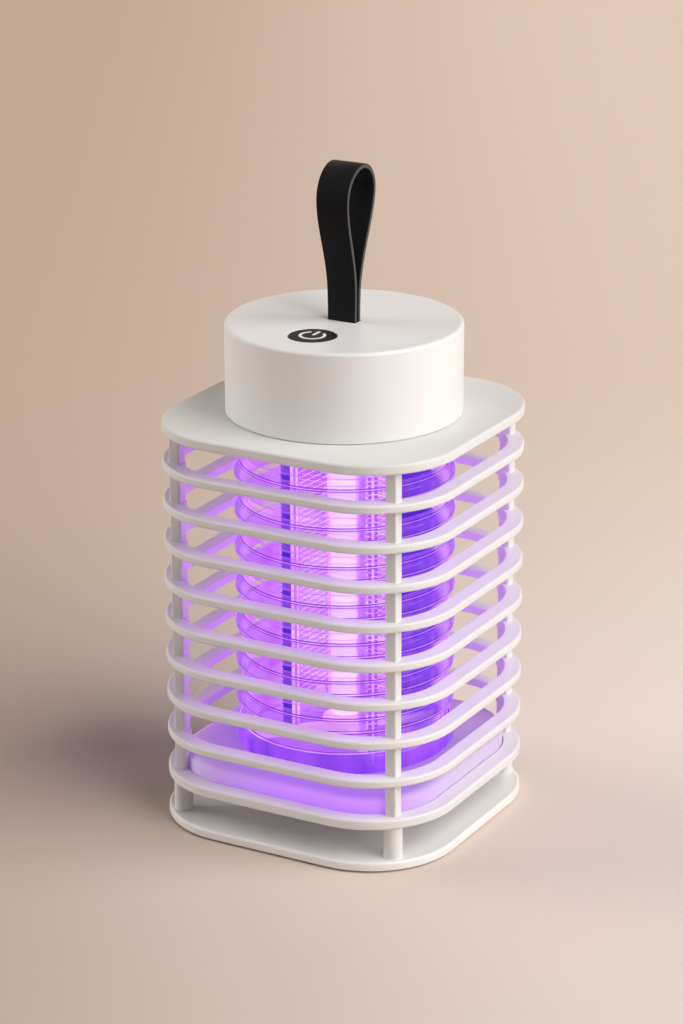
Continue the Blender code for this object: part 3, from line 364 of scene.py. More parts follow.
def screw_mesh(node):
    """A screw that points up, filling the box of its solid."""
    radius, (x, y), low, high = upright(node)
    shoulder = low + screw_head_height
    shape = fillet(radius - screw_round, low + screw_round, screw_round, -90, 0, 3)
    shape += [(radius, shoulder), (screw_shank, shoulder), (screw_shank, high - screw_taper),
              (screw_shank / 2, high)]
    mesh = turned(shape, 24, (x, y))
    for long_x, long_y in ((recess_half, recess_slot), (recess_slot, recess_half)):
        slot = block((x - long_x, y - long_y, low - cut_over / 2),
                     (x + long_x, y + long_y, low + recess_depth))
        mesh = combine(mesh, [slot], "DIFFERENCE")
    return mesh


for corner in corners:
    node = "base_screw_" + corner
    place("cross_screw_" + corner, screw_mesh(node), [screw_steel], "base", "steel", node)


# Lower frame: the lowest ring of the body, moulded in one with its inner ledge and four round legs.
# White ABS; the legs flare a little where they meet the ring and the base, and take the cage's spigots.
deck_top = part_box("lower_frame")[1].z
deck_bottom = base_high.z + 0.0110
ring_depth = 0.0055
ledge_width = 0.0040
ledge_thick = 0.0012
ring_fillet = 0.0008
inner_fillet = 0.0003
leg_radius = 0.0030
leg_flare = 0.0005
seam = 0.00005
post_offset = upright("base_screw_front_right")[1][0]
pilot_radius = screw_shank + pocket_gap
pilot_top = upright("base_screw_front_left")[3] + pocket_gap
spigot_hole = 0.0015
spigot_length = 0.0017
ring_inside = cage_half - ring_depth
ledge_top = deck_bottom + ledge_thick


def flared(half, flare, low, high):
    """Half widths and heights up a leg or post that widens where it meets what it joins."""
    turns = [math.pi / 2 * step / 4 for step in range(5)]
    rise = [(half + flare * (1 - math.sin(turn)), flare * (1 - math.cos(turn))) for turn in turns]
    return [(out, low + up) for out, up in rise] + [(out, high - up) for out, up in reversed(rise)]


deck_shape = edge_up(cage_half, deck_bottom, deck_top, ring_fillet, ring_fillet)
deck_shape += fillet(ring_inside + inner_fillet, deck_top - inner_fillet, inner_fillet, 90, 180, 2)
deck_shape += [(ring_inside, ledge_top), (ring_inside - ledge_width, ledge_top),
               (ring_inside - ledge_width, deck_bottom)]
leg_bottom = base_high.z + seam
leg_shape = flared(leg_radius, leg_flare, leg_bottom, deck_bottom)
leg_shape.append((leg_radius + leg_flare, deck_bottom + ledge_thick / 2))
post_places = [(x * post_offset, y * post_offset) for x, y in ((-1, -1), (1, -1), (1, 1), (-1, 1))]
deck_cuts = []
for spot in post_places:
    deck_cuts.append(bar(spigot_hole, deck_top - spigot_length, deck_top + cut_over, 20, spot))
    deck_cuts.append(bar(pilot_radius, leg_bottom - cut_over, pilot_top, 20, spot))
leg_meshes = [turned(leg_shape, 32, spot) for spot in post_places]
deck_mesh = combine(framed(deck_shape, ring=True), leg_meshes, "UNION")
deck_mesh = combine(deck_mesh, deck_cuts, "DIFFERENCE")
cage_plastic = moulded("cage_plastic", (0.73, 0.72, 0.71), 0.05, 0.38, 2600.0, 0.10, 0.32)
place("lower_frame_moulding", deck_mesh, [cage_plastic], "base", "white_plastic", "lower_frame")


# Insect tray: a shallow block that fills the ring, notched for the posts, with a dish under the guard.
# Smooth white plastic; the lamp's violet light on it is painted on as a glow and a violet tint.
tray_low, tray_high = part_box("tray")
tray_foot = 0.0006
tray_edge = 0.0026
tray_gap = 0.0003
post_half = 0.0020
tray_half = ring_inside - tray_gap
dish_radius = 0.0315
dish_depth = 0.0050
dish_chamfer = 0.0004
# Painted light: the tray glows violet and is tinted violet, most a little left of the middle, fading to its
# ends.
tray_glow_ends = (0.013, 0.042)
tray_glow_left = 0.007
tray_glow_top = tray_high.z - 0.002
tray_glow_low = (0.36, 0.09, 0.80)
tray_glow_high = (0.46, 0.18, 0.80)
tray_painted_violet = (0.15, 0.04, 0.42)


def spread(tree, value, start=0.0, end=1.0, low=0.0, high=1.0, **settings):
    """A value moved from one range to another."""
    ends = {"Value": value, "From Min": start, "From Max": end, "To Min": low, "To Max": high}
    return add_node(tree, "MapRange", ends, **settings)["Result"]


def mixed(tree, share, first, second):
    """A colour between two others."""
    return add_node(tree, "Mix", {"Factor": share, "A": first, "B": second}, data_type="RGBA")["Result"]


def reckon_vector(tree, operation, *terms):
    """The outputs of a sum on vectors."""
    return add_node(tree, "VectorMath", dict(enumerate(terms)), operation=operation)


tray_plastic = moulded("tray_plastic", (0.54, 0.51, 0.55), 0.04, 0.60, 1800.0, 0.05, 0.15)
tree, shader = opened(tray_plastic)
tray_spot = add_node(tree, "TexCoord")
tray_across = reckon_vector(tree, "DOT_PRODUCT", tray_spot["Object"], view_right)["Value"]
tray_out = reckon(tree, "ABSOLUTE", reckon(tree, "ADD", tray_across, tray_glow_left))
tray_up = add_node(tree, "SeparateXYZ", {0: tray_spot["Object"]})["Z"]
tray_lean = add_node(tree, "SeparateXYZ", {0: tray_spot["Normal"]})["Z"]
# The painted glow fades to the ends and is weaker on faces that look up; the painted violet tint goes into
# the base colour.
tray_fade = spread(tree, tray_out, *tray_glow_ends, 1.0, 0.30)
tray_tint = spread(tree, tray_out, *tray_glow_ends, 0.70, 0.0)
tray_level = spread(tree, tray_lean, 0.4, 1.0, 1.0, 0.55)
tray_rise = spread(tree, tray_up, tray_low.z, tray_glow_top)
tray_skin = shader.inputs["Base Color"].links[0].from_socket
feed(shader, {"Base Color": mixed(tree, tray_tint, tray_skin, tray_painted_violet),
              "Emission Color": mixed(tree, tray_rise, tray_glow_low, tray_glow_high),
              "Emission Strength": reckon(tree, "MULTIPLY", tray_fade, tray_level)})
dish_round = dish_depth * 0.8
dish_shape = fillet(dish_radius - dish_round, tray_high.z - dish_depth + dish_round, dish_round, -90, 0, 6)
dish_shape += [(dish_radius, tray_high.z - dish_chamfer), (dish_radius + dish_chamfer, tray_high.z),
               (dish_radius + dish_chamfer, tray_high.z + cut_over)]
tray_cuts = [turned(dish_shape, 96)]
notch_half = post_half + tray_gap
for x, y in post_places:
    tray_cuts.append(block((x - notch_half, y - notch_half, tray_low.z - cut_over),
                           (x + notch_half, y + notch_half, tray_high.z + cut_over)))
tray_mesh = framed(edge_up(tray_half, tray_low.z, tray_high.z, tray_foot, tray_edge, 10))
tray_mesh = combine(tray_mesh, tray_cuts, "DIFFERENCE")
tray_under = moulded("tray_under", (0.70, 0.67, 0.74), 0.04, 0.40, 1800.0, 0.05)
for face in tray_mesh.polygons:
    face.material_index = 1 if face.normal.z < -0.5 else 0
place("insect_tray", tray_mesh, [tray_plastic, tray_under], "base", "white_plastic", "tray")


# Cage: eight slim rings on four corner posts under a flat top plate, one white moulding.
# The posts flare into each ring they cross, and spigots below them plug into the lower frame.
plate_low, plate_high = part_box("top_plate")
ring_names = [f"ring_{number}" for number in range(1, 9)]
ring_levels = [(low.z, high.z) for low, high in (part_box(name) for name in ring_names)]
post_edge = 0.0007
post_flare = 0.00025
post_foot = deck_top + seam
post_top = plate_low.z + 0.001
spigot_radius = 0.0012
spigot_bottom = post_foot - spigot_length + 0.0002
plate_hole = 0.0358


def post_mesh(spot):
    """A corner post from its spigot up into the top plate, flared at every ring."""
    levels = []
    stops = [(post_foot - post_flare, post_foot), *ring_levels, (plate_low.z, post_top)]
    for below, above in zip(stops, stops[1:]):
        levels += flared(post_half, post_flare, below[1], above[0])
    levels.append((post_half + post_flare, post_top))
    loops = []
    for half, z in levels:
        section = rounded(half - post_edge, half - post_edge, post_edge, 3)
        loops.append([(spot[0] + x, spot[1] + y, z) for x, y in section])
    round_foot = []
    for x, y, z in loops[0]:
        way = Vector((x - spot[0], y - spot[1])).normalized() * spigot_radius
        round_foot.append((spot[0] + way.x, spot[1] + way.y))
    spigot = [[(x, y, z) for x, y in round_foot] for z in (spigot_bottom, post_foot)]
    return loft(spigot + loops)


def ring_section(low, high):
    """Half widths and heights round a ring's section."""
    return (edge_up(cage_half, low, high, ring_fillet, ring_fillet)
            + fillet(ring_inside + inner_fillet, high - inner_fillet, inner_fillet, 90, 180, 2)
            + fillet(ring_inside + inner_fillet, low + inner_fillet, inner_fillet, 180, 270, 2))


cage_bodies = [framed(ring_section(low, high), ring=True) for low, high in ring_levels]
plate_shape = edge_up(cage_half, plate_low.z, plate_high.z, ring_fillet, plate_fillet)
plate_loops = [outline(half, z) for half, z in plate_shape]
hole_ways = [Vector((x, y)).normalized() * plate_hole for x, y, z in plate_loops[0]]
for height in (plate_high.z, plate_low.z):
    plate_loops.append([(way.x, way.y, height) for way in hole_ways])
cage_bodies.append(loft(plate_loops, ring=True))
cage_mesh = combine(together(cage_bodies), [post_mesh(spot) for spot in post_places], "UNION")
cage_nodes = ["top_plate", *ring_names, *("cage_post_" + corner for corner in corners)]
place("cage_moulding", cage_mesh, [cage_plastic], "cage", "white_plastic", *cage_nodes)


# Lamp tube: a straight UV tube with crimped metal ends, standing in a ceramic holder and hub.
# Phosphor-coated glass that glows pale pink, deeper towards its edges where the coating is seen slanted.
tube_round = 0.0012
tube_pale = (0.89, 0.74, 0.95)
tube_pink = (0.86, 0.42, 0.94)
tube_throw = (0.60, 0.26, 1.0)
tube_glass = bpy.data.materials.new("tube_glass")
tree, shader = opened(tube_glass)
tube_slant = add_node(tree, "LayerWeight", {"Blend": 0.35})["Facing"]
tube_seen = add_node(tree, "LightPath")["Is Camera Ray"]
tube_look = mixed(tree, tube_slant, tube_pale, tube_pink)
feed(shader, {"Base Color": (0.20, 0.12, 0.22), "Roughness": 0.15,
              "Emission Color": mixed(tree, tube_seen, tube_throw, tube_look),
              "Emission Strength": spread(tree, tube_seen, low=3.6, high=0.92)})
radius, middle, low, high = upright("uv_tube")
tube_mesh = turned(edge_up(radius, low, high, tube_round, tube_round), 48)
place("glowing_tube", tube_mesh, [tube_glass], "head", "tube_glass", "uv_tube")
crimp_metal = metal("crimp_metal", (0.72, 0.70, 0.74), 0.22, 700.0, 0.3)
# The lower end is a darker copy of the crimp metal with a painted pink glow, for the tube's light on it.
crimp_painted_glow = metal("crimp_painted_glow", (0.50, 0.46, 0.52), 0.30, 700.0, 0.3)
crimp_round = 0.0004
crimp_mouth = 0.0006
crimp_floor = 0.0002
crimp_depth = 0.0003
for end, finish in (("lower", crimp_painted_glow), ("upper", crimp_metal)):
    radius, middle, low, high = upright("tube_cap_" + end)
    crimp = (low + high) / 2
    shape = fillet(radius - crimp_round, low + crimp_round, crimp_round, -90, 0)
    shape += [(radius, crimp - crimp_mouth), (radius - crimp_depth, crimp - crimp_floor),
              (radius - crimp_depth, crimp + crimp_floor), (radius, crimp + crimp_mouth)]
    shape += fillet(radius - crimp_round, high - crimp_round, crimp_round, 0, 90)
    place("tube_end_" + end, turned(shape, 40), [finish], "head", "steel", "tube_cap_" + end)
ceramic = moulded("ceramic", (0.62, 0.58, 0.62), 0.10, 0.55, 900.0, 0.2)
# The hub is a darker copy of the ceramic with a painted pink glow, for the tube's light on it; both glows are
# set just below.
ceramic_painted_glow = moulded("ceramic_painted_glow", (0.40, 0.32, 0.42), 0.10, 0.55, 900.0, 0.2)
for finish, level in ((crimp_painted_glow, 0.60), (ceramic_painted_glow, 0.50)):
    feed(opened(finish)[1], {"Emission Color": (1.0, 0.52, 1.0), "Emission Strength": level})
seat_radius = 0.0053
seat_depth = 0.0046
seat_chamfer = 0.0004
ceramic_round = 0.0006
radius, middle, low, high = upright("lamp_holder")
holder_shape = [(seat_radius, low + seat_depth), (seat_radius, low + seat_chamfer),
                (seat_radius + seat_chamfer, low)]
holder_shape += fillet(radius - ceramic_round, low + ceramic_round, ceramic_round, -90, 0) + [(radius, high)]
place("ceramic_holder", turned(holder_shape, 48), [ceramic], "head", "ceramic_white", "lamp_holder")
hub_low, hub_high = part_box("lower_hub")
hub_radius = 0.0075
hub_floor = 0.0010
arm_half = 0.0015
arm_edge = 0.0004
arm_top = hub_low.z + 0.0030
arm_start = (hub_radius + seat_radius) / 2
guard_inside = 0.0322
arm_end = guard_inside - 0.0003
hub_shape = edge_up(hub_radius, hub_low.z, hub_high.z, ceramic_round, ceramic_round)
hub_shape += [(seat_radius, hub_high.z), (seat_radius, hub_low.z + hub_floor)]
hub_arms = [block((arm_start, -arm_half, hub_low.z), (arm_end, arm_half, arm_top), arm_edge, quarter + 0.5)
            for quarter in range(4)]
hub_mesh = combine(turned(hub_shape, 48), hub_arms, "UNION")
place("ceramic_hub", hub_mesh, [ceramic_painted_glow], "head", "ceramic_white", "lower_hub")


# Grid: two interleaved steel wires wound round the tube from comb to comb, which carry the high voltage.
# Bright drawn wire, taut in one unbroken winding each; the tube's pink light is painted on the side facing it
# as a glow, and the outer side has a violet painted glow and is partly clear.
grid_low, grid_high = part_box("grid_wire_a")
grid_wire_radius = 0.00010
grid_radius = 0.0147
grid_loops = 24
grid_corner = 0.0154
grid_bend = math.radians(4)
wire_end = 0.0012
lead_spread = 0.0073
lead_row = 0.0220
grid_violet = (0.76, 0.38, 0.94)
grid_pink = (1.0, 0.58, 1.0)
grid_steel = metal("grid_steel", (0.30, 0.25, 0.31), 0.28, 1200.0, 0.1)
# Painted light: a pink glow on the side facing the tube, a violet glow on the outer side, which is also
# partly clear.
tree, shader = opened(grid_steel)
grid_spot = add_node(tree, "TexCoord")
grid_flat = reckon_vector(tree, "MULTIPLY", grid_spot["Object"], (1.0, 1.0, 0.0))["Vector"]
grid_out = reckon_vector(tree, "NORMALIZE", grid_flat)["Vector"]
grid_turn = reckon_vector(tree, "DOT_PRODUCT", grid_out, grid_spot["Normal"])["Value"]
grid_painted_light = spread(tree, grid_turn, 0.5, -0.5)
feed(shader, {"Emission Color": mixed(tree, grid_painted_light, grid_violet, grid_pink),
              "Emission Strength": 0.95, "Alpha": spread(tree, grid_painted_light, low=0.40)})
wound_bottom = grid_low.z + wire_end
wound_top = grid_high.z - wire_end
beside = grid_corner * math.cos(math.pi / 4) / math.cos(math.pi / 4 - grid_bend)
for number, letter in enumerate("ab"):
    start = math.atan2(lead_row, lead_spread) + math.pi * number
    stop = start + 2 * math.pi * grid_loops
    stations = [(start, grid_radius)]
    for corner in range(4 * grid_loops):
        angle = math.pi / 2 * (corner + 1.5 + 2 * number)
        stations += [(angle - grid_bend, beside), (angle, (grid_corner + beside) / 2),
                     (angle + grid_bend, beside)]
    stations.append((stop, grid_radius))
    spots = []
    for angle, reach in stations:
        height = wound_bottom + (wound_top - wound_bottom) * (angle - start) / (stop - start)
        spots.append(Vector((reach * math.cos(angle), reach * math.sin(angle), height)))
    spots = [spots[0] - Vector((0, 0, wire_end)), *spots, spots[-1] + Vector((0, 0, wire_end))]
    curve = bpy.data.curves.new("grid_winding_" + letter, "CURVE")
    curve.dimensions = "3D"
    curve.bevel_depth = grid_wire_radius
    curve.bevel_resolution = 1
    curve.use_fill_caps = True
    spline = curve.splines.new("POLY")
    spline.points.add(len(spots) - 1)
    for point, spot in zip(spline.points, spots):
        point.co = (*spot, 1.0)
    curve.materials.append(grid_steel)
    winding = put("grid_winding_" + letter, curve)
    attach(winding, "head")
    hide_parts("grid_wire_" + letter)


# Combs: four upright strips that hold the grid wires apart, notched outside, with clear bars inside.
# Deep violet acrylic with a painted violet glow; the tube's light on the bars is a pale pink painted glow,
# and the notched tips have lighter painted glow lines.
def make_cloudy_glow():
    """Group for a painted glow in plastic: two tones of the glow in soft clouds, and a drift of gloss."""
    group, given, out = new_group(
        "cloudy_glow", {"Color": ["Deep", "Pale"], "Float": ["Scale"], "Vector": ["Stretch"]},
        {"Color": ["Colour"], "Float": ["Roughness"]})
    spot = add_node(group, "TexCoord")["Object"]
    drawn = reckon_vector(group, "MULTIPLY", spot, given["Stretch"])["Vector"]
    cloud = add_node(group, "TexNoise", {"Vector": drawn, "Scale": given["Scale"], "Detail": 3.0})["Fac"]
    tone = mixed(group, spread(group, cloud, 0.34, 0.66), given["Deep"], given["Pale"])
    feed(out, {"Colour": tone, "Roughness": spread(group, cloud, low=0.05, high=0.30)})
    return group


cloudy_glow = make_cloudy_glow()


def glowing(name, deep, pale, scale, base, strength, upward=1.0):
    """A plastic with the lamp's light painted on as a glow from within."""
    material = bpy.data.materials.new(name)
    tree, shader = opened(material)
    tones = {"Deep": deep, "Pale": pale, "Scale": scale, "Stretch": (1.0, 1.0, upward)}
    skin = add_node(tree, "Group", tones, node_tree=cloudy_glow)
    feed(shader, {"Base Color": base, "Emission Color": skin["Colour"], "Roughness": skin["Roughness"],
                  "Emission Strength": strength})
    return material


# Painted glows: deep violet blades, pale pink bars for the tube's light, and lighter violet tips as light
# lines.
comb_violet = glowing("comb_violet", (0.05, 0.01, 0.54), (0.13, 0.03, 0.80), 90.0, (0.03, 0.01, 0.16), 0.64)
pink_painted_glow = glowing("pink_painted_glow", (0.72, 0.22, 0.92), (1.0, 0.66, 1.0), 160.0, (0.35, 0.20, 0.40), 0.75)
comb_tip = glowing("comb_tip", (0.42, 0.13, 0.90), (0.62, 0.28, 1.0), 300.0, (0.20, 0.10, 0.35), 0.75)
comb_thick = 0.0016
comb_half = comb_thick / 2
comb_inner = 0.0156
comb_line = 0.0007
comb_groove = 0.0008
comb_bar = 0.0011
bar_edge = 0.0002
blade_inset = 0.0002
notch_pitch = 0.0016
notch_height = 0.0008
notch_depth = 0.0008
tip_width = 0.0004
bars_end = comb_inner + comb_line + comb_groove + comb_bar
# Two of the blades take the tips' lighter painted glow.
comb_finishes = {"back_right": comb_violet, "back_left": comb_tip,
                 "front_left": comb_violet, "front_right": comb_tip}
for quarter, (corner, blade_finish) in enumerate(comb_finishes.items()):
    low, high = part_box("grid_comb_" + corner)
    reach = max(abs(low.x), abs(high.x)) * math.sqrt(2) - comb_half
    tip_start = reach - tip_width
    notches = []
    for number in range(int((high.z - low.z) / notch_pitch) - 1):
        level = low.z + (number + 1) * notch_pitch
        notches.append(block((reach - notch_depth, -comb_thick, level - notch_height / 2),
                             (reach + comb_thick, comb_thick, level + notch_height / 2)))
    blade = block((bars_end, -comb_half, low.z), (tip_start, comb_half, high.z))
    tips = block((tip_start, -comb_half, low.z), (reach, comb_half, high.z))
    slim = block((comb_inner + blade_inset, blade_inset - comb_half, low.z + blade_inset),
                 (bars_end, comb_half - blade_inset, high.z - blade_inset))
    bars = [block((start, -comb_half, low.z), (start + width, comb_half, high.z), bar_edge)
            for start, width in ((comb_inner, comb_line), (bars_end - comb_bar, comb_bar))]
    blade = combine(blade, notches, "DIFFERENCE")
    tips = together([combine(tips, notches, "DIFFERENCE"), slim])
    bars = together(bars)
    for mesh in (blade, tips, bars):
        mesh.transform(Matrix.Rotation(math.pi / 2 * (quarter + 0.5), 4, "Z"))
    place("comb_blade_" + corner, blade, [blade_finish], "head", "violet_comb", "grid_comb_" + corner)
    place("comb_tips_" + corner, tips, [comb_tip], "head", "violet_comb")
    place("comb_bars_" + corner, bars, [pink_painted_glow], "head", "violet_comb")


# Guard: a clear violet tube on a deeper foot, with eight domed bands, each ending below in a sharp lip.
# Injection-moulded polycarbonate, slotted above each band; the lamp's light in it is a painted violet glow,
# with painted dark lines and painted pale highlight lines at the lips and beads.
guard_low, guard_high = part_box("guard")
band_radius = guard_high.x
band_bulge = 0.0019
neck_radius = band_radius - band_bulge
band_height = 0.0079
band_pitch = 0.01273
band_count = 8
band_lift = 0.0005
guard_foot = 0.0069
foot_fillet = 0.0008
slot_height = 0.0022
pillar_width = 0.0054
guard_steps = 96
dome_rise = 0.0026
dome_steps = 8
dome_set_back = 0.00008
lip_land = 0.00105
lip_under = 0.0012
bead_out = 0.00028
bead_radius = neck_radius + bead_out
bead_land = 0.00095
line_width = 0.00028
flank_start = 0.0275
flank_blur = 0.0042
# A painted reflection: a pale upright strip on the flank, between these two soft edges in y.
painted_reflection_ends = ((-0.0030, 0.0030), (0.0035, 0.0070))
painted_reflection_tone = (0.52, 0.27, 0.66)
guard_throw = 2.4


def make_clear_wall():
    """Group for the clear wall: colour and clarity by slant, streaks, a denser flank and a painted reflection
    strip on it.
    """
    group, given, out = new_group(
        "clear_wall", {"Color": ["Face", "Slant", "Side"],
                       "Float": ["Facing", "Face Alpha", "Slant Alpha", "Side Alpha"]},
        {"Color": ["Colour"], "Float": ["Alpha", "Roughness"]})
    spot = add_node(group, "TexCoord")["Object"]
    parts = add_node(group, "SeparateXYZ", {0: spot})
    flank = reckon(group, "SUBTRACT", parts["X"], flank_start)
    flank = reckon(group, "DIVIDE", flank, flank_blur, use_clamp=True)
    begun, ended = [spread(group, parts["Y"], *ends) for ends in painted_reflection_ends]
    strip = reckon(group, "MULTIPLY", flank, reckon(group, "SUBTRACT", begun, ended))
    deep = reckon(group, "MULTIPLY", flank, reckon(group, "SUBTRACT", 1.0, begun))
    tone = mixed(group, given["Facing"], given["Face"], given["Slant"])
    tone = mixed(group, strip, mixed(group, deep, tone, given["Side"]), painted_reflection_tone)
    drawn = reckon_vector(group, "MULTIPLY", spot, (1.0, 1.0, 0.03))["Vector"]
    lines = add_node(group, "TexNoise", {"Vector": drawn, "Scale": 130.0, "Detail": 2.0})["Fac"]
    streak = spread(group, lines, 0.36, 0.66)
    lift = spread(group, streak, low=0.86, high=1.12)
    fade = spread(group, streak, low=1.02, high=0.90)
    streaked = add_node(group, "HueSaturation", {"Color": tone, "Value": lift, "Saturation": fade})["Color"]
    clear = spread(group, given["Facing"], low=given["Face Alpha"], high=given["Slant Alpha"])
    dense = reckon(group, "MULTIPLY_ADD", deep, given["Side Alpha"], clear, use_clamp=True)
    haze = add_node(group, "TexNoise", {"Vector": spot, "Scale": 60.0, "Detail": 2.0})["Fac"]
    gloss = spread(group, haze, low=0.04, high=0.16)
    feed(out, {"Colour": streaked, "Alpha": dense, "Roughness": gloss})
    return group


clear_wall = make_clear_wall()


def clear_violet(name, face, slant, side, glow, face_alpha, slant_alpha, side_alpha, gloss):
    """A clear plastic with a painted glow, which throws more light on what is round it than it shows."""
    material = bpy.data.materials.new(name)
    tree, shader = opened(material)
    facing = add_node(tree, "LayerWeight", {"Blend": 0.48})["Facing"]
    seen = add_node(tree, "LightPath")["Is Camera Ray"]
    looks = {"Face": face, "Slant": slant, "Side": side, "Facing": facing, "Face Alpha": face_alpha,
             "Slant Alpha": slant_alpha, "Side Alpha": side_alpha}
    wall = add_node(tree, "Group", looks, node_tree=clear_wall)
    feed(shader, {"Base Color": [0.4 * part for part in slant], "Roughness": wall["Roughness"],
                  "Alpha": wall["Alpha"], "Emission Color": wall["Colour"],
                  "Emission Strength": spread(tree, seen, low=guard_throw * glow, high=glow),
                  "Specular IOR Level": gloss})
    return material


guard_looks = {
    "guard_neck": ((0.62, 0.18, 0.92), (0.48, 0.11, 0.86), (0.15, 0.03, 0.64), 0.80, 0.10, 0.72, 0.40, 0.25),
    "guard_dome": ((0.50, 0.11, 0.90), (0.30, 0.05, 0.78), (0.16, 0.03, 0.70), 0.78, 0.20, 0.88, 0.40, 0.25),
    "guard_rim": ((0.36, 0.012, 0.78), (0.22, 0.01, 0.66), (0.09, 0.01, 0.48), 0.62, 0.94, 1.0, 0.0, 0.05),
    "guard_painted_highlight": ((0.86, 0.42, 1.0), (0.66, 0.26, 1.0), (0.40, 0.18, 0.96), 0.80, 0.45, 0.90, 0.20, 0.25)}
guard_finishes = [clear_violet(name, *look) for name, look in guard_looks.items()]
foot_violet = glowing("foot_violet", (0.12, 0.02, 0.62), (0.38, 0.07, 0.90), 120.0, (0.08, 0.02, 0.26), 0.90,
                      upward=0.04)
feed(opened(foot_violet)[1], {"Alpha": 0.86})
# The inside of the far wall has a painted magenta glow; the inside of the near wall is left almost clear.
guard_glow = glowing("guard_glow", (0.60, 0.13, 0.86), (0.92, 0.46, 0.92), 70.0, (0.16, 0.04, 0.30), 0.70)
tree, shader = opened(guard_glow)
glow_back = add_node(tree, "NewGeometry")["Backfacing"]
feed(shader, {"Alpha": spread(tree, glow_back, low=0.82, high=0.03)})
# The rim faces carry painted dark edge lines, and the pale faces painted highlight lines.
NECK, DOME, RIM, PAINTED_HIGHLIGHT, FOOT, GLOW = range(6)
guard_finishes += [foot_violet, guard_glow]

foot_top = guard_low.z + guard_foot
guard_rows = [(guard_inside, guard_high.z, GLOW), (guard_inside, guard_low.z, FOOT)]
foot_shape = fillet(band_radius - foot_fillet, guard_low.z + foot_fillet, foot_fillet, -90, 0)
foot_shape += fillet(neck_radius, foot_top - band_bulge, band_bulge, 0, 75)
foot_kinds = [FOOT] * (len(foot_shape) - 2) + [PAINTED_HIGHLIGHT, RIM]
guard_rows += [(out, height, kind) for (out, height), kind in zip(foot_shape, foot_kinds)]
guard_rows.append((neck_radius, foot_top, NECK))
for number in reversed(range(band_count)):
    band_top = plate_low.z + band_lift - number * band_pitch
    bead_low = band_top - bead_land
    lip_high = bead_low - dome_rise
    lip_low = lip_high - lip_land
    guard_rows += [(neck_radius, lip_low - lip_under, DOME),
                   (band_radius - line_width, lip_low - line_width, RIM), (band_radius, lip_low, RIM),
                   (band_radius, lip_low + line_width, PAINTED_HIGHLIGHT), (band_radius, lip_high - line_width, RIM)]
    for step in range(dome_steps):
        turn = math.pi / 2 * (1 - step / dome_steps)
        reach = bead_radius + (band_bulge - bead_out - dome_set_back) * math.sin(turn)
        guard_rows.append((reach, lip_high + dome_rise * math.cos(turn), DOME))
    guard_rows += [(bead_radius, bead_low, RIM), (bead_radius, bead_low + line_width, PAINTED_HIGHLIGHT),
                   (bead_radius, band_top - line_width, RIM), (neck_radius, band_top, NECK)]
guard_rows.append((neck_radius, guard_high.z, NECK))
guard_mesh = turned([(out, height) for out, height, kind in guard_rows], guard_steps, ring=True)
for row, (out, height, kind) in enumerate(guard_rows):
    for face in guard_mesh.polygons[row * guard_steps:(row + 1) * guard_steps]:
        face.material_index = kind
half_slot = (neck_radius - pillar_width / 2) / math.sqrt(2)
guard_slots = []
for number in range(1, band_count):
    slot_middle = plate_low.z - number * band_pitch + (band_pitch - band_height) / 2
    for quarter in range(4):
        guard_slots.append(block((half_slot, -half_slot, slot_middle - slot_height / 2),
                                 (band_radius + cut_over, half_slot, slot_middle + slot_height / 2),
                                 quarters=quarter))
for finish in guard_finishes:
    guard_mesh.materials.append(finish)
guard_mesh = combine(guard_mesh, guard_slots, "DIFFERENCE")
place("banded_guard", guard_mesh, guard_finishes, "head", "clear_guard", "guard", sharp=50.0)


# Guard rack: a toothed rib moulded up the inside of the guard's front right pillar to stiffen it.
# The same clear plastic; the smooth middle line has a pale pink painted glow, and the teeth beside it a deep
# violet painted glow.
rack_half = 0.00025
rack_gap = 0.0003
rack_tooth = 0.0009
rack_pitch = 0.0015
rack_rise = 0.55 * rack_pitch
rack_bottom = guard_low.z + 0.0025
rack_top = plate_low.z - 0.001
rack_inner = guard_inside - 0.0006
rack_outer = guard_inside + 0.0001
rack_edge = 0.0002
rack_turn = -0.5
rack_rib = block((rack_inner, -rack_half, rack_bottom), (rack_outer, rack_half, rack_top),
                 rack_edge, rack_turn)
rack_teeth = []
for side in (-1, 1):
    start, stop = sorted((side * (rack_half + rack_gap), side * (rack_half + rack_gap + rack_tooth)))
    for number in range(int((rack_top - rack_bottom) / rack_pitch)):
        low = rack_bottom + number * rack_pitch
        rack_teeth.append(block((rack_inner, start, low), (rack_outer, stop, low + rack_rise),
                                quarters=rack_turn))
place("guard_rack_rib", rack_rib, [pink_painted_glow], "head", "clear_guard")
place("guard_rack_teeth", together(rack_teeth), [foot_violet], "head", "clear_guard")


# Cap: a round white shell over the electronics, with a soft top edge and a fine shadow gap at its foot.
# Satin ABS like the cage, pierced for the button, for the strap and, at the back, for the charging socket.
cap_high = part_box("cap")[1]
cap_radius = cap_high.x
cap_wall = 0.0018
cap_roof = 0.0020
cap_fillet = 0.0013
cap_foot = 0.0004
cap_steps = 128
cap_bottom = plate_high.z + seam
cap_inside = cap_radius - cap_wall
ceiling = cap_high.z - cap_roof
button_low, button_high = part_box("power_button")
button_place = (0.0, (button_low.y + button_high.y) / 2)
button_radius = 0.0075
bore_radius = button_radius + 0.0002
bore_mouth = button_radius + 0.0006
bore_edge = cap_high.z - 0.0003
bore_top = cap_high.z + 0.0001
strap_low, strap_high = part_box("strap")
strap_leaf = 0.0019
strap_width_low = 0.0097
slot_half = (strap_width_low / 2 + pocket_gap, strap_leaf + pocket_gap)
socket_low, socket_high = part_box("usb_socket")
socket_middle = (socket_low.z + socket_high.z) / 2
socket_half = (socket_high.x - socket_low.x) / 2
socket_tall = (socket_high.z - socket_low.z) / 2
window_ends = (cap_inside - 0.004, cap_radius + 0.002)


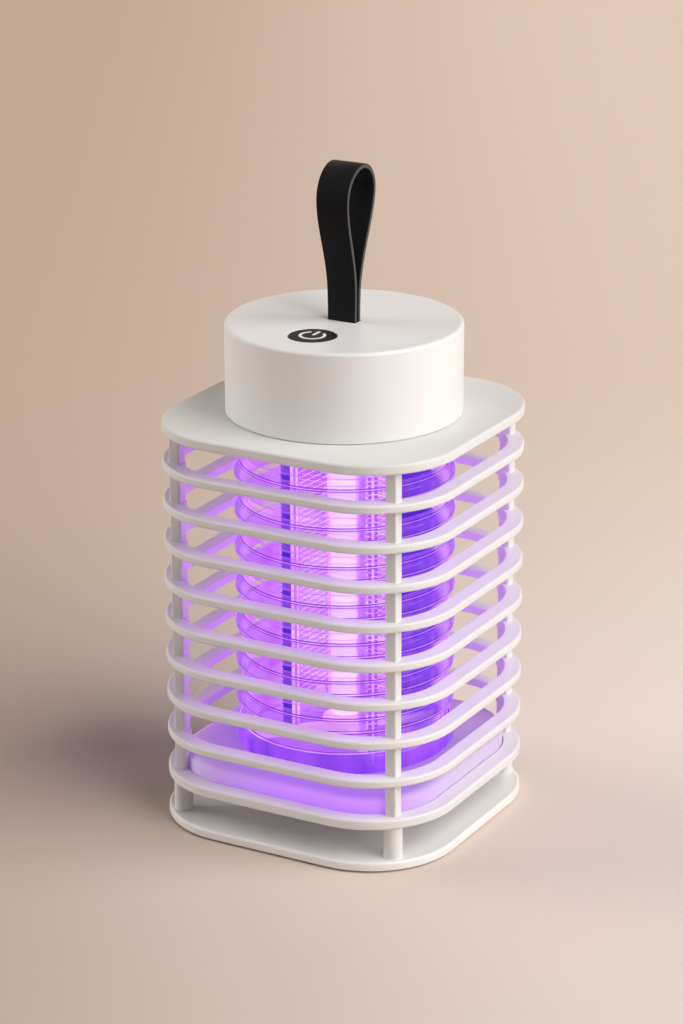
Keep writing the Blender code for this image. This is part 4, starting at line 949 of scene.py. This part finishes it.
def stadium(half_width, half_height, depth, steps=10):
    """Points of the socket's outline, with round ends, in a plane that faces the back."""
    points = []
    for side, start in ((1, -90), (-1, 90)):
        for step in range(steps + 1):
            angle = math.radians(start + 180 * step / steps)
            x = side * (half_width - half_height) + half_height * math.cos(angle)
            points.append((x, depth, socket_middle + half_height * math.sin(angle)))
    return points


cap_shape = [(cap_inside, ceiling), (cap_inside, cap_bottom), (cap_radius - cap_foot, cap_bottom),
             (cap_radius, cap_bottom + cap_foot)]
cap_shape += fillet(cap_radius - cap_fillet, cap_high.z - cap_fillet, cap_fillet, 0, 90, 6)
bore_shape = [(bore_radius, ceiling - cut_over), (bore_radius, bore_edge), (bore_mouth, bore_top),
              (bore_mouth, cap_high.z + cut_over)]
strap_slot = block((-slot_half[0], -slot_half[1], ceiling - cut_over), (*slot_half, cap_high.z + cut_over))
socket_window = loft([stadium(socket_half + pocket_gap, socket_tall + pocket_gap, y)
                      for y in window_ends])
cap_cuts = [turned(bore_shape, 64, button_place), strap_slot, socket_window]
cap_mesh = combine(turned(cap_shape, cap_steps), cap_cuts, "DIFFERENCE")
place("cap_shell", cap_mesh, [white_plastic], "head", "white_plastic", "cap")


# Charging socket: a steel shell with round ends round a black contact tongue, set in the back.
# The shell is folded from one strip of sheet and polished by plugging.
socket_steel = metal("socket_steel", (0.66, 0.66, 0.68), 0.14, 1500.0, 0.05)
tongue_black = moulded("tongue_black", (0.02, 0.02, 0.022), 0.4, 0.45, 2000.0, 0.1)
socket_sheet = 0.00035
socket_floor = 0.0015
mouth = socket_high.y
mouth_chamfer = (0.0001, 0.0002)
tongue_half = (0.0033, 0.0004)
tongue_ends = (socket_low.y + 0.0010, mouth - 0.0008)
tongue_edge = 0.00012
socket_loops = []
for inset, y in ((0.0, socket_low.y), (0.0, mouth - mouth_chamfer[1]), (mouth_chamfer[0], mouth),
                 (socket_sheet, mouth), (socket_sheet, socket_low.y + socket_floor)):
    socket_loops.append(stadium(socket_half - inset, socket_tall - inset, y))
place("socket_shell", loft(socket_loops), [socket_steel], "head", "steel", "usb_socket")
tongue = block((-tongue_half[0], tongue_ends[0], socket_middle - tongue_half[1]),
               (tongue_half[0], tongue_ends[1], socket_middle + tongue_half[1]), tongue_edge)
place("socket_tongue", tongue, [tongue_black], "head", "black_plastic")


# Works under the cap: a flat lithium cell, the circuit board and its parts, on the white cap floor.
# They are stock parts, glued or soldered in place, and the floor is screwed to the cap from below.
cell_wrap = moulded("cell_wrap", (0.10, 0.20, 0.45), 0.35, 0.35, 700.0, 0.2)
board_green = moulded("board_green", (0.03, 0.20, 0.09), 0.6, 0.45, 1300.0, 0.4)
part_black = moulded("part_black", (0.022, 0.022, 0.024), 0.5, 0.50, 1600.0, 0.3)
lead_skin = moulded("lead_skin", (0.55, 0.05, 0.04), 0.3, 0.40, 900.0, 0.1)
dressed = {"battery": cell_wrap, "circuit_board": board_green, "head_floor": white_plastic,
           "friction_ring": foot_rubber, "strap_pin": screw_steel, "push_switch": part_black,
           "hv_transformer": part_black, "hv_capacitor": part_black}
for node, finish in dressed.items():
    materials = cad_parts[node].data.materials
    materials.clear()
    materials.append(finish)
for number in (1, 2, 3):
    node = f"floor_screw_{number}"
    place(f"cap_screw_{number}", screw_mesh(node), [screw_steel], "head", "steel", node)
for node in ("lamp_lead", "grid_lead_a", "grid_lead_b", "battery_lead"):
    shape = bmesh.new()
    shape.from_mesh(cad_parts[node].data)
    bmesh.ops.remove_doubles(shape, verts=shape.verts, dist=0.00001)
    name = "insulated_" + node
    lead = place(name, to_mesh(shape, name), [lead_skin], "head", "lead_red", node, sharp=80.0)
    rounding = lead.modifiers.new("round", "SUBSURF")
    rounding.levels = 1
    rounding.render_levels = 1


# Power button: a flat black disc, flush with the cap, that clicks down onto the switch below it.
# Satin ABS with a fine chamfer; the power sign is a white inlay, a broken ring and a bar.
button_black = moulded("button_black", (0.0085, 0.0095, 0.0108), 0.4, 0.46, 2200.0, 0.06, 0.13)
sign_white = moulded("sign_white", (0.88, 0.87, 0.86), 0.05, 0.45, 1500.0, 0.05)
stem_radius = 0.0020
flange_radius = button_radius + 0.0011
flange_low = ceiling - 0.0016
flange_high = ceiling - 0.0003
button_chamfer = 0.0003
sign_radius = 0.0038
sign_line = 0.00048
sign_gap = math.radians(34)
sign_turn = math.radians(90)
sign_steps = 40
sign_low = button_high.z - 0.0001
sign_high = button_high.z + 0.00004
bar_ends = (button_place[1] + 0.0003, button_place[1] + 0.0046)
button_shape = [(stem_radius, button_low.z), (stem_radius, flange_low), (flange_radius, flange_low),
                (flange_radius, flange_high), (button_radius, flange_high)]
button_shape += fillet(button_radius - button_chamfer, button_high.z - button_chamfer, button_chamfer,
                       0, 90, 3)
place("button_disc", turned(button_shape, 64, button_place), [button_black], "button", "black_plastic",
      "power_button")
sign_loops = []
for step in range(sign_steps + 1):
    angle = sign_turn + sign_gap + (2 * math.pi - 2 * sign_gap) * step / sign_steps
    across = []
    for out, height in ((-sign_line, sign_low), (sign_line, sign_low), (sign_line, sign_high),
                        (-sign_line, sign_high)):
        across.append((button_place[0] + (sign_radius + out) * math.cos(angle),
                       button_place[1] + (sign_radius + out) * math.sin(angle), height))
    sign_loops.append(across)
sign_bar = block((-sign_line, bar_ends[0], sign_low), (sign_line, bar_ends[1], sign_high))
place("power_sign", together([loft(sign_loops), sign_bar]), [sign_white], "button", "black_plastic")


# Strap: one leather band folded into a loop, its two leaves side by side through the slot in the cap.
# Smooth black finish with a fine pore, cut edges left bare and grey; a pin holds its tail inside.
strap_axis = strap_low.z + strap_leaf
strap_width_high = 0.0113
strap_tail = ceiling - 0.0040 - strap_axis
strap_neck = 0.0058
strap_shoulder = 0.0377
strap_height = strap_high.z - strap_axis
strap_loop_width = 0.0184
strap_ease_low = 0.38
strap_ease_high = 0.28
strap_lean = 0.0024
leaf_gap = 0.0007
leaf_thick = strap_leaf - leaf_gap / 2
leaf_edge = 0.00025
leather_swing = 0.2
leather_pores = 2300.0
leather_skin = make_skin("leather_skin", 110.0, 4.0, 1.025, leather_swing, "TexVoronoi", {}, "Distance")


def leather(name, colour, roughness, bump):
    """A coated leather with closed pores; its roughness swings up from the one given."""
    return skinned(name, leather_skin, colour, 0.65, roughness + leather_swing / 2, leather_pores, bump, 0.11)


strap_face = leather("strap_face", (0.0062, 0.0072, 0.0082), 0.36, 0.25)
strap_cut = leather("strap_cut", (0.075, 0.075, 0.073), 0.45, 0.6)
FACE, CUT = range(2)


def strap_line():
    """Points along the middle of the band, from the front tail over the loop to the back tail."""
    wide = (strap_loop_width - leaf_thick) / 2
    near = (leaf_thick + leaf_gap) / 2
    rise = strap_shoulder - strap_neck
    crown = strap_height - leaf_thick / 2 - strap_shoulder
    points = [Vector((near, strap_tail + (strap_neck - strap_tail) * step / 12)) for step in range(12)]
    handles = [Vector((near, strap_neck)), Vector((near, strap_neck + strap_ease_low * rise)),
               Vector((wide, strap_shoulder - strap_ease_high * rise)), Vector((wide, strap_shoulder))]
    for step in range(16):
        t = step / 16
        weights = ((1 - t) ** 3, 3 * t * (1 - t) ** 2, 3 * t * t * (1 - t), t ** 3)
        points.append(sum((w * h for w, h in zip(weights, handles)), Vector((0, 0))))
    for step in range(17):
        angle = math.pi / 2 * step / 16
        points.append(Vector((wide * math.cos(angle), strap_shoulder + crown * math.sin(angle))))
    back = [Vector((-p.x, p.y)) for p in reversed(points[:-1])]
    return [Vector((strap_lean * (max(p.y, 0) / strap_height) ** 2 - p.x, p.y)) for p in points + back]


strap_points = strap_line()
strap_loops = []
for i, point in enumerate(strap_points):
    before = strap_points[max(i - 1, 0)]
    after = strap_points[min(i + 1, len(strap_points) - 1)]
    way = (after - before).normalized()
    out = Vector((-way.y, way.x))
    share = min(max(point.y / strap_height, 0.0), 1.0)
    half_width = (strap_width_low + (strap_width_high - strap_width_low) * share) / 2
    loop = []
    for x, off in rounded(half_width - leaf_edge, leaf_thick / 2 - leaf_edge, leaf_edge, 2):
        spot = point + off * out
        loop.append((x, spot.x, strap_axis + spot.y))
    strap_loops.append(loop)
strap_mesh = loft(strap_loops)
loop_size = len(strap_loops[0])
edge_places = (loop_size // 2 - 1, loop_size - 1)
for number, face in enumerate(strap_mesh.polygons):
    face.material_index = CUT if number % loop_size in edge_places else FACE
strap_band = put("strap_band", strap_mesh)
for finish in (strap_face, strap_cut):
    strap_mesh.materials.append(finish)
strap_mesh.shade_smooth()
strap_mesh.set_sharp_from_angle(angle=math.radians(60))
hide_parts("strap", "strap_tail")
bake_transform(strap_band)


# Floor and light: a warm table top that runs out of view, painted darker to the left and lighter to the
# right, under soft studio lamps.
# A broad high lamp at the right gives the form, and a low one at the left fills the shaded side.
floor_size = 12.0
# Painted light: the floor is darker to the left and lighter to the right, and the difference fades into the
# distance.
floor_painted_shade_ends = ((0.49, 0.377, 0.310), (0.565, 0.430, 0.345))
floor_painted_lit_ends = ((0.905, 0.78, 0.711), (0.79, 0.635, 0.53))
floor_half_blend = 0.20
floor_far = 0.5
floor_mesh = bpy.data.meshes.new("floor")
floor_corners = [(x * floor_size, y * floor_size, 0) for x, y in ((-1, -1), (1, -1), (1, 1), (-1, 1))]
floor_mesh.from_pydata(floor_corners, [], [(0, 1, 2, 3)])
floor = put("floor", floor_mesh)
floor_painted_light = bpy.data.materials.new("floor_painted_light")
tree, shader = opened(floor_painted_light)
floor_spot = add_node(tree, "TexCoord")["Object"]
floor_across = reckon_vector(tree, "DOT_PRODUCT", floor_spot, view_right)["Value"]
floor_along = reckon_vector(tree, "DOT_PRODUCT", floor_spot, view_away)["Value"]
floor_share = spread(tree, floor_across, -floor_half_blend, floor_half_blend,
                     interpolation_type="SMOOTHSTEP")
floor_depth = spread(tree, floor_along, 0.0, floor_far, interpolation_type="SMOOTHSTEP")
floor_left = mixed(tree, floor_depth, *floor_painted_shade_ends)
floor_right = mixed(tree, floor_depth, *floor_painted_lit_ends)
feed(shader, {"Base Color": mixed(tree, floor_share, floor_left, floor_right), "Roughness": 0.9,
              "Specular IOR Level": 0.1})
floor_mesh.materials.append(floor_painted_light)
lamps = {"right_lamp": ((0.7726, -0.0135, 0.6347), 3.6, 62.0, (1.0, 0.985, 0.97), True),
         "left_lamp": ((-0.961, -0.222, 0.165), 2.85, 46.0, (1.0, 0.98, 0.96), False)}
for name, (toward, strength, breadth, colour, glossy) in lamps.items():
    data = bpy.data.lights.new(name, "SUN")
    data.energy = strength
    data.angle = math.radians(breadth)
    data.color = colour
    lamp = put(name, data)
    lamp.rotation_euler = Vector(toward).to_track_quat("Z", "Y").to_euler()
    lamp.visible_glossy = glossy
world = bpy.data.worlds.new("studio")
scene.world = world
world.use_nodes = True
sky = world.node_tree
sky.nodes.clear()
sky_rays = add_node(sky, "LightPath")
sky_seen = reckon(sky, "MAXIMUM", sky_rays["Is Camera Ray"], sky_rays["Is Transmission Ray"])
sky_seen = reckon(sky, "MAXIMUM", sky_seen, sky_rays["Is Glossy Ray"])
ambient = add_node(sky, "Background", {"Color": (1.0, 0.98, 0.96), "Strength": 0.035})[0]
backdrop = add_node(sky, "Background", {"Color": (0.66, 0.54, 0.46), "Strength": 1.0})[0]
sky_light = add_node(sky, "MixShader", {0: sky_seen, 1: ambient, 2: backdrop})[0]
add_node(sky, "OutputWorld", {"Surface": sky_light})
